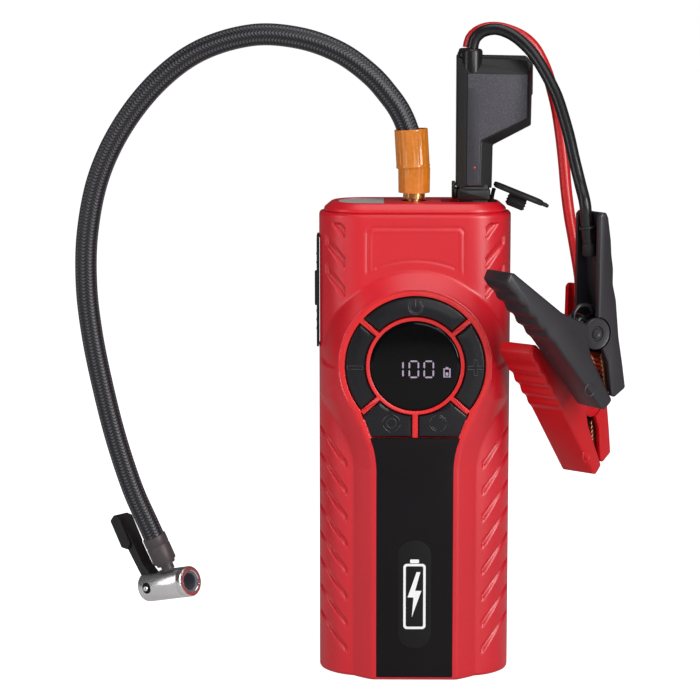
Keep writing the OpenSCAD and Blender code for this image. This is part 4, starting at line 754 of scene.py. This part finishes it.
make("module_grommet", join(gl), M["plug"], replaces=("module_gland",), angle=40)
pl = [rbox(19.7, -7.3, 206.2, 32.7, 7.3, 222.4, 0.8, 0.8), rbox(18.9, -7.8, 214.9, 33.5, 7.8, 220.2, 0.9, 0.9)]
pl += [rbox(20.4 + 2.0 * k, -7.7, 207.6, 21.4 + 2.0 * k, -7.0, 214.4, 0.3, 0.25) for k in range(6)]
pl += [rbox(16.5, -4, 215.4, 19.2, 4, 220.2, 0.6, 0.6), rbox(16.5, -4, 216.2, 18.1, 4, 223, 0.5, 0.5)]
make("lead_plug", join(pl), M["plug"], replaces=("module_plug",), angle=40)

# ---------------------------------------------------------------- flap
FP = tr(35.6, 0, 220.8) @ ry(22)
def rplate(w0, w1, d, r, z0, z1, b):
    q = [(x + (w0 + w1) / 2, y) for x, y in rrect(w1 - w0, d, r, 8)]
    def ins(k): return [tuple(p) for p in inset(q, k)]
    return loft([(ins(b), z0), (ins(0), z0 + b), (ins(0), z1 - b), (ins(b), z1)])
fl = [rplate(-0.5, 23.2, 15.4, 4.6, 0, 2.0, 0.4)]
fl.append(rplate(7.6, 15.8, 7.8, 1.4, -5.4, 0.3, 0.5))
fl += [rplate(7.3, 16.1, 8.3, 1.5, -4.9 + 1.4 * k, -4.2 + 1.4 * k, 0.2) for k in range(3)]
fl += [rplate(22.0, 26.0, 2.6, 0.8, 0.2, 1.6, 0.3) if False else rplate(22.4, 26.0, 3.0, 1.0, 0.15, 1.5, 0.35)]
fl = [xf(p, FP) for p in fl]
fl += [xf(rplate(21.6, 25.6, 3.2, 1.0, 0.15, 1.5, 0.35), FP @ tr(0, -3.6, 0)), xf(rplate(21.6, 25.6, 3.2, 1.0, 0.15, 1.5, 0.35), FP @ tr(0, 3.6, 0))]
make("socket_flap", join(fl), M["rubber"], body="flap", replaces=("port_flap",), angle=45)
st = [rbox(33.9, -2.5, 211.5, 36.1, 2.5, 214.2, 0.4, 0.4)]
st.append(tube(spline([(34.4, 0, 213.2), (34.6, 0, 216.0), (35.0, 0, 218.0), (35.5, 0, 219.9)], 0.5), 0.9, 12))
s1 = xf(st[1], Matrix.Diagonal((1, 2.2, 1, 1)))
make("flap_hinge", join([st[0], s1]), M["rubber"], replaces=("flap_strap",), angle=45)

# ---------------------------------------------------------------- clamps
arm_o = [(0.5, 9.6, 1), (0.5, 51, 1.2), (2, 52.4, 1.2), (4.2, 52.4, 1.2), (5.4, 50, 2), (7.0, 40, 12), (7.4, 34, 10), (8.4, 28, 8), (8.4, 21, 8), (10.2, 14, 10), (12, -2.7, 20), (14.1, -13.5, 20), (16, -25, 1.4),
         (10, -28.8, 1.2), (8.2, -27.6, 1.2), (6.2, -13, 6), (3.2, -7, 2), (0.2, -2, 1)]
arm_cav = [(-12, 54.5), (0.9, 54.5), (3.0, 49), (4.8, 40), (5.3, 33), (6.1, 20.4), (7.7, 13.4), (9.7, -2), (11.7, -13), (13.2, -26.0), (12, -34), (-12, -34)]
lev_o = [(-4.6, 4.4, 2), (-18.4, 10.4, 8), (-43.6, 29, 1.4), (-46, 29.4, 0.9), (-48, 25.6, 1.2)]
# wavy finger side of the lever
wav = []
p0 = np.array([-47.0, 23.6]); p1 = np.array([-21, -4.4]); L_ = np.linalg.norm(p1 - p0); dn = (p1 - p0) / L_; nn = np.array([dn[1], -dn[0]])
for k in range(44):
    t = k / 43; s = t * L_
    am = 0.5 * min(1, 4 * t) * min(1, 4 * (1 - t))
    q = p0 + dn * s + nn * (am * math.sin(s / 7.6 * 2 * math.pi) - 0.2)
    wav.append((q[0], q[1], 0))
lev_o += wav + [(3, -33.4, 1.4), (5, -33.8, 1.2), (9, -30, 1.6), (-2.6, -10, 4), (-4, -5, 3)]
lev_cav = [(-42.6, 31), (-44.4, 27.0), (-44.8, 25.4), (-40.2, 19.6), (-35.6, 15.0), (-29.6, 9.4), (-23.8, 4.0), (-18.2, -2.8), (6.8, -31.6), (14, -28), (6, 12), (-8, 16), (-30, 34)]

def clamp(pre, Fm, mat_, pos):
    lb_ = pre + "_squeeze_lever"
    arm = make(pre + "_arm", prism(rpoly(arm_o, 1.0, 4), -9, 9, 0.9), mat_, replaces=(pre + "_clamp_arm",), angle=30)
    cut(arm, prism(arm_cav, -6.8, 6.8))
    # clearance for the lever's hub discs, then lugs
    for s in (-1, 1): cut(arm, xf(lathe([(0, -1.25), (7.3, -1.25), (7.3, 1.25), (0, 1.25)], 48), tr(0, s * 7.95, 0) @ rx(90)))
    lug = []
    for s in (-1, 1):
        lug.append(prism(rpoly([(-6, 0, 4), (-4, 5.2, 4), (4, 5.6, 1), (9.4, 8, 1), (10.9, -3.2, 1), (4, -5.4, 1), (-4, -5.2, 4)], 1, 6), s * 5.4 - 1.05, s * 5.4 + 1.05, 0.2))
    lugs = make(pre + "_arm_lugs", join(lug), mat_, angle=40)
    lev = make(pre + "_lever", prism(rpoly(lev_o, 1.0, 4), -9, 9, 1.1), mat_, body=lb_, replaces=(pre + "_clamp_lever",), angle=30)
    cut(lev, prism(lev_cav, -6.8, 6.8))
    cut(lev, xf(lathe([(0, -6.8), (7.6, -6.8), (7.6, 6.8), (0, 6.8)], 48), rx(90)))
    hubs = []
    for s in (-1, 1):
        hubs.append(xf(lathe([(0, -1.1), (6.5, -1.1), (6.9, -0.8), (6.9, 0.7), (6.5, 1.1), (6.2, 0.98), (3.4, 0.98), (3.1, 0.45), (0, 0.45)], 64), tr(0, s * 7.9, 0) @ rx(90 if s < 0 else -90)))
    hub = make(pre + "_lever_hubs", join(hubs), mat_, body=lb_, angle=40)
    pin = make(pre + "_rivet", xf(lathe([(0, -8.95), (1.1, -9.0), (1.5, -9.2), (2.0, -9.15), (2.25, -8.85), (2.25, 8.85), (2.0, 9.15), (1.5, 9.2), (1.1, 9.0), (0, 8.95)], 32), rx(90)), mat_, replaces=(pre + "_clamp_pin",), angle=40)
    ringm = make(pre + "_lever_mark", xf(lathe([(2.2, 0), (2.35, -0.18), (2.6, -0.24), (2.85, -0.18), (3.0, 0)], 40, True), tr(-3.6, -9.0, -24.4) @ rx(-90)), mat_, body=lb_, angle=70)
    H = []
    for i in range(0, 6 * 24 + 1):
        a = 2 * math.pi * i / 24; H.append((4.1 * math.cos(a), -3.6 + 7.2 * i / (6 * 24), 4.1 * math.sin(a)))
    leg1 = spline([H[0], (4.7, -3.65, 3.0), (4.9, -3.7, 8), (5.0, -3.7, 11.6)], 0.8)
    leg2 = spline([H[-1], (2.0, 3.65, 4.2), (-3.2, 3.7, 5.4), (-9.5, 3.7, 6.8)], 0.8)
    spr = make(pre + "_spring", join([tube(H, 0.6, 10), tube(leg1, 0.6, 10), tube(leg2, 0.6, 10)]), M["steel"], replaces=(pre + "_clamp_spring",), angle=60)
    aj = [(6.4, -9.4), (4.8, -9.4)]
    for i in range(9): aj += [(4.9 + 0.3 * i, -10 - 2 * i), (4.3 + 0.33 * i, -11 - 2 * i)]
    aj += [(8.2, -27.4), (9.2, -26.8), (7.6, -13)]
    straps = [(3.4, 35), (4.9, 35), (5.2, 33), (6, 20), (7.4, 12.6), (9.2, -2), (10.9, -13), (10.6, -20), (8, -20), (8, -14), (9.4, -13), (7.8, -1.8), (6.2, 12), (4.6, 20)]
    jaw = join([prism(aj, -5.5, 5.5, 0.15, 1), prism([q for q in straps if q[1] < 3] , -2.5, 2.5, 0.15, 1)])
    feed = join([prism([(3.4, 35), (4.9, 35), (5.2, 33), (6, 20), (7.4, 12.6), (9.0, 0), (7.9, 0), (6.2, 12), (4.6, 20)], -2.5, 2.5, 0.6, 2), xf(lathe([(0, -5.2), (2.6, -5.0), (3.0, -4.4), (3.0, -0.5), (2.75, 0.4), (0, 0.4)], 24), tr(1.6, 0, 38) @ ry(-4))])
    fdo = make(pre + "_feed_wire", feed, M["rubber"], angle=50)
    ajo = make(pre + "_jaw_fixed", jaw, M["copper"], replaces=(pre + "_arm_jaw",), angle=30)
    lj = [(-4.4, -7.6), (-1.6, -8.6)]
    for i in range(9): lj += [(-0.2 + 0.72 * i, -10 - 2 * i), (1.2 + 0.66 * i, -11 - 2 * i)]
    lj += [(7, -28.6), (6.4, -30), (-3.8, -11.8)]
    ljo = make(pre + "_jaw_moving", prism(lj, -5.5, 5.5, 0.15, 1), M["copper"], body=lb_, replaces=(pre + "_lever_jaw",), angle=30)
    # jumper wire over the spring
    wire = tube(spline([(-1.0, -3.6, 3.6), (-5.0, -3.9, 6.6), (-8.4, -4.0, 4.6), (-9.0, -4.0, 9.0), (-5.4, -3.9, 12.2), (-0.6, -3.6, 11.6), (2.6, -3.0, 8.6)], 0.7), 1.0, 12)
    wr = make(pre + "_jumper_wire", wire, M["leadblack"], angle=60)
    band = make(pre + "_lead_tie", xf(tube([(2.95 * math.cos(rad(a)), 2.95 * math.sin(rad(a)), 0) for a in range(0, 361, 15)], 0.7, 10), tr(0.55, 0, 45.5) @ ry(-8)), M["black"], angle=60)
    for o in (arm, lugs, lev, hub, pin, ringm, spr, ajo, ljo, wr, band, fdo):
        o.data.transform(Matrix.Diagonal((MM, MM, MM, 1)) @ Fm @ Matrix.Diagonal((1 / MM, 1 / MM, 1 / MM, 1)))
        if o in (arm, lev): sharpen(o, 34)
    return wr, band

BF = tr(73.5, -42.4, 161.1) @ rz(32)
RF = tr(73.3, -4.9, 124.6) @ rz(50) @ ry(2)
bw, bt = clamp("black", BF, M["clampblack"], None)
rw, rt = clamp("red", RF, M["clampred"], None)

# ---------------------------------------------------------------- finishes of the remaining CAD pieces
rest = {"display_board": "board", "control_board": "board", "torch_lens": "torch", "torch_board": "board", "jump_socket": "black", "usb_ports": "black", "battery_cell_front": "foil", "battery_cell_middle": "foil",
        "battery_cell_rear": "foil", "pump_motor": "steel", "motor_pinion": "steel", "crank_gear": "white", "piston_rod": "white", "pump_cylinder": "steel", "air_tube": "white", "air_outlet": "brass",
        "case_screws": "steel", "hose_barb": "brass", "module_contacts": "brass", "module_board": "board"}
for k, v in rest.items():
    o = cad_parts[k]
    o.data.materials.clear(); o.data.materials.append(M[v])

# ---------------------------------------------------------------- floor and studio light
fl_me = bpy.data.meshes.new("floor"); fl_me.from_pydata([(-40, -10, -0.0002), (40, -10, -0.0002), (40, 90, -0.0002), (-40, 90, -0.0002)], [], [(0, 1, 2, 3)])
floor = bpy.data.objects.new("floor", fl_me); bpy.context.scene.collection.objects.link(floor)
fm = mat("floor", (0.9, 0.9, 0.9), 0.8, spec=0.2, scale=40, var=0.01, bump=0.0)
lp = fm.node_tree.nodes.new("ShaderNodeLightPath"); em = fm.node_tree.nodes.new("ShaderNodeMath"); em.operation = 'MULTIPLY'; em.inputs[1].default_value = 0.93
eg = fm.node_tree.nodes.new("ShaderNodeMath"); eg.operation = 'MULTIPLY_ADD'; eg.inputs[1].default_value = 0.12
fm.node_tree.links.new(lp.outputs["Is Glossy Ray"], eg.inputs[0]); fm.node_tree.links.new(lp.outputs["Is Camera Ray"], eg.inputs[2]); fm.node_tree.links.new(eg.outputs[0], em.inputs[0]); fm.node_tree.links.new(em.outputs[0], fm.node_tree.nodes["Principled BSDF"].inputs["Emission Strength"])
fm.node_tree.nodes["Principled BSDF"].inputs["Emission Color"].default_value = (1, 1, 1, 1)
fc = fm.node_tree.nodes.new("ShaderNodeMix"); fc.data_type = 'RGBA'
fm.node_tree.links.new(lp.outputs["Is Camera Ray"], fc.inputs["Factor"]); fc.inputs[6].default_value = (0.48, 0.48, 0.48, 1); fc.inputs[7].default_value = (0.9, 0.9, 0.9, 1)
fm.node_tree.links.new(fc.outputs[2], fm.node_tree.nodes["Principled BSDF"].inputs["Base Color"])
floor.data.materials.append(fm)
w = bpy.data.worlds.new("studio"); bpy.context.scene.world = w; w.use_nodes = True
w.node_tree.nodes["Background"].inputs["Color"].default_value = (1, 1, 1, 1); w.node_tree.nodes["Background"].inputs["Strength"].default_value = 0.3
wl = w.node_tree.nodes.new("ShaderNodeLightPath"); wm = w.node_tree.nodes.new("ShaderNodeMapRange"); wm.inputs["To Min"].default_value = 0.08; wm.inputs["To Max"].default_value = 1.0
w.node_tree.links.new(wl.outputs["Is Camera Ray"], wm.inputs["Value"]); w.node_tree.links.new(wm.outputs["Result"], w.node_tree.nodes["Background"].inputs["Strength"])
def light(name, loc, target, size, power, col=(1, 1, 1), sy=None):
    d = bpy.data.lights.new(name, 'AREA'); d.energy = power; d.color = col; d.size = size
    if sy: d.shape = 'RECTANGLE'; d.size_y = sy
    o = bpy.data.objects.new(name, d); bpy.context.scene.collection.objects.link(o)
    o.location = loc; o.rotation_euler = (Vector(target) - Vector(loc)).to_track_quat('-Z', 'Y').to_euler()
    return o
light("left_box", (-1.0, -0.45, 0.5), (0, 0, 0.13), 0.25, 2.4, sy=0.9)
light("right_box", (0.75, -0.8, 0.55), (0, 0, 0.13), 0.24, 10.0, sy=0.9)
light("top_box", (0.1, -0.15, 1.0), (0, 0, 0.1), 0.7, 2.7)
light("front_fill", (0.36, -1.45, 0.68), (0, 0, 0.13), 0.7, 3.9)
soft = light("left_soft", (-0.85, -1.0, 0.35), (0, 0, 0.13), 0.7, 5.0)
soft.visible_glossy = False
bpy.context.scene.view_settings.view_transform = 'Standard'
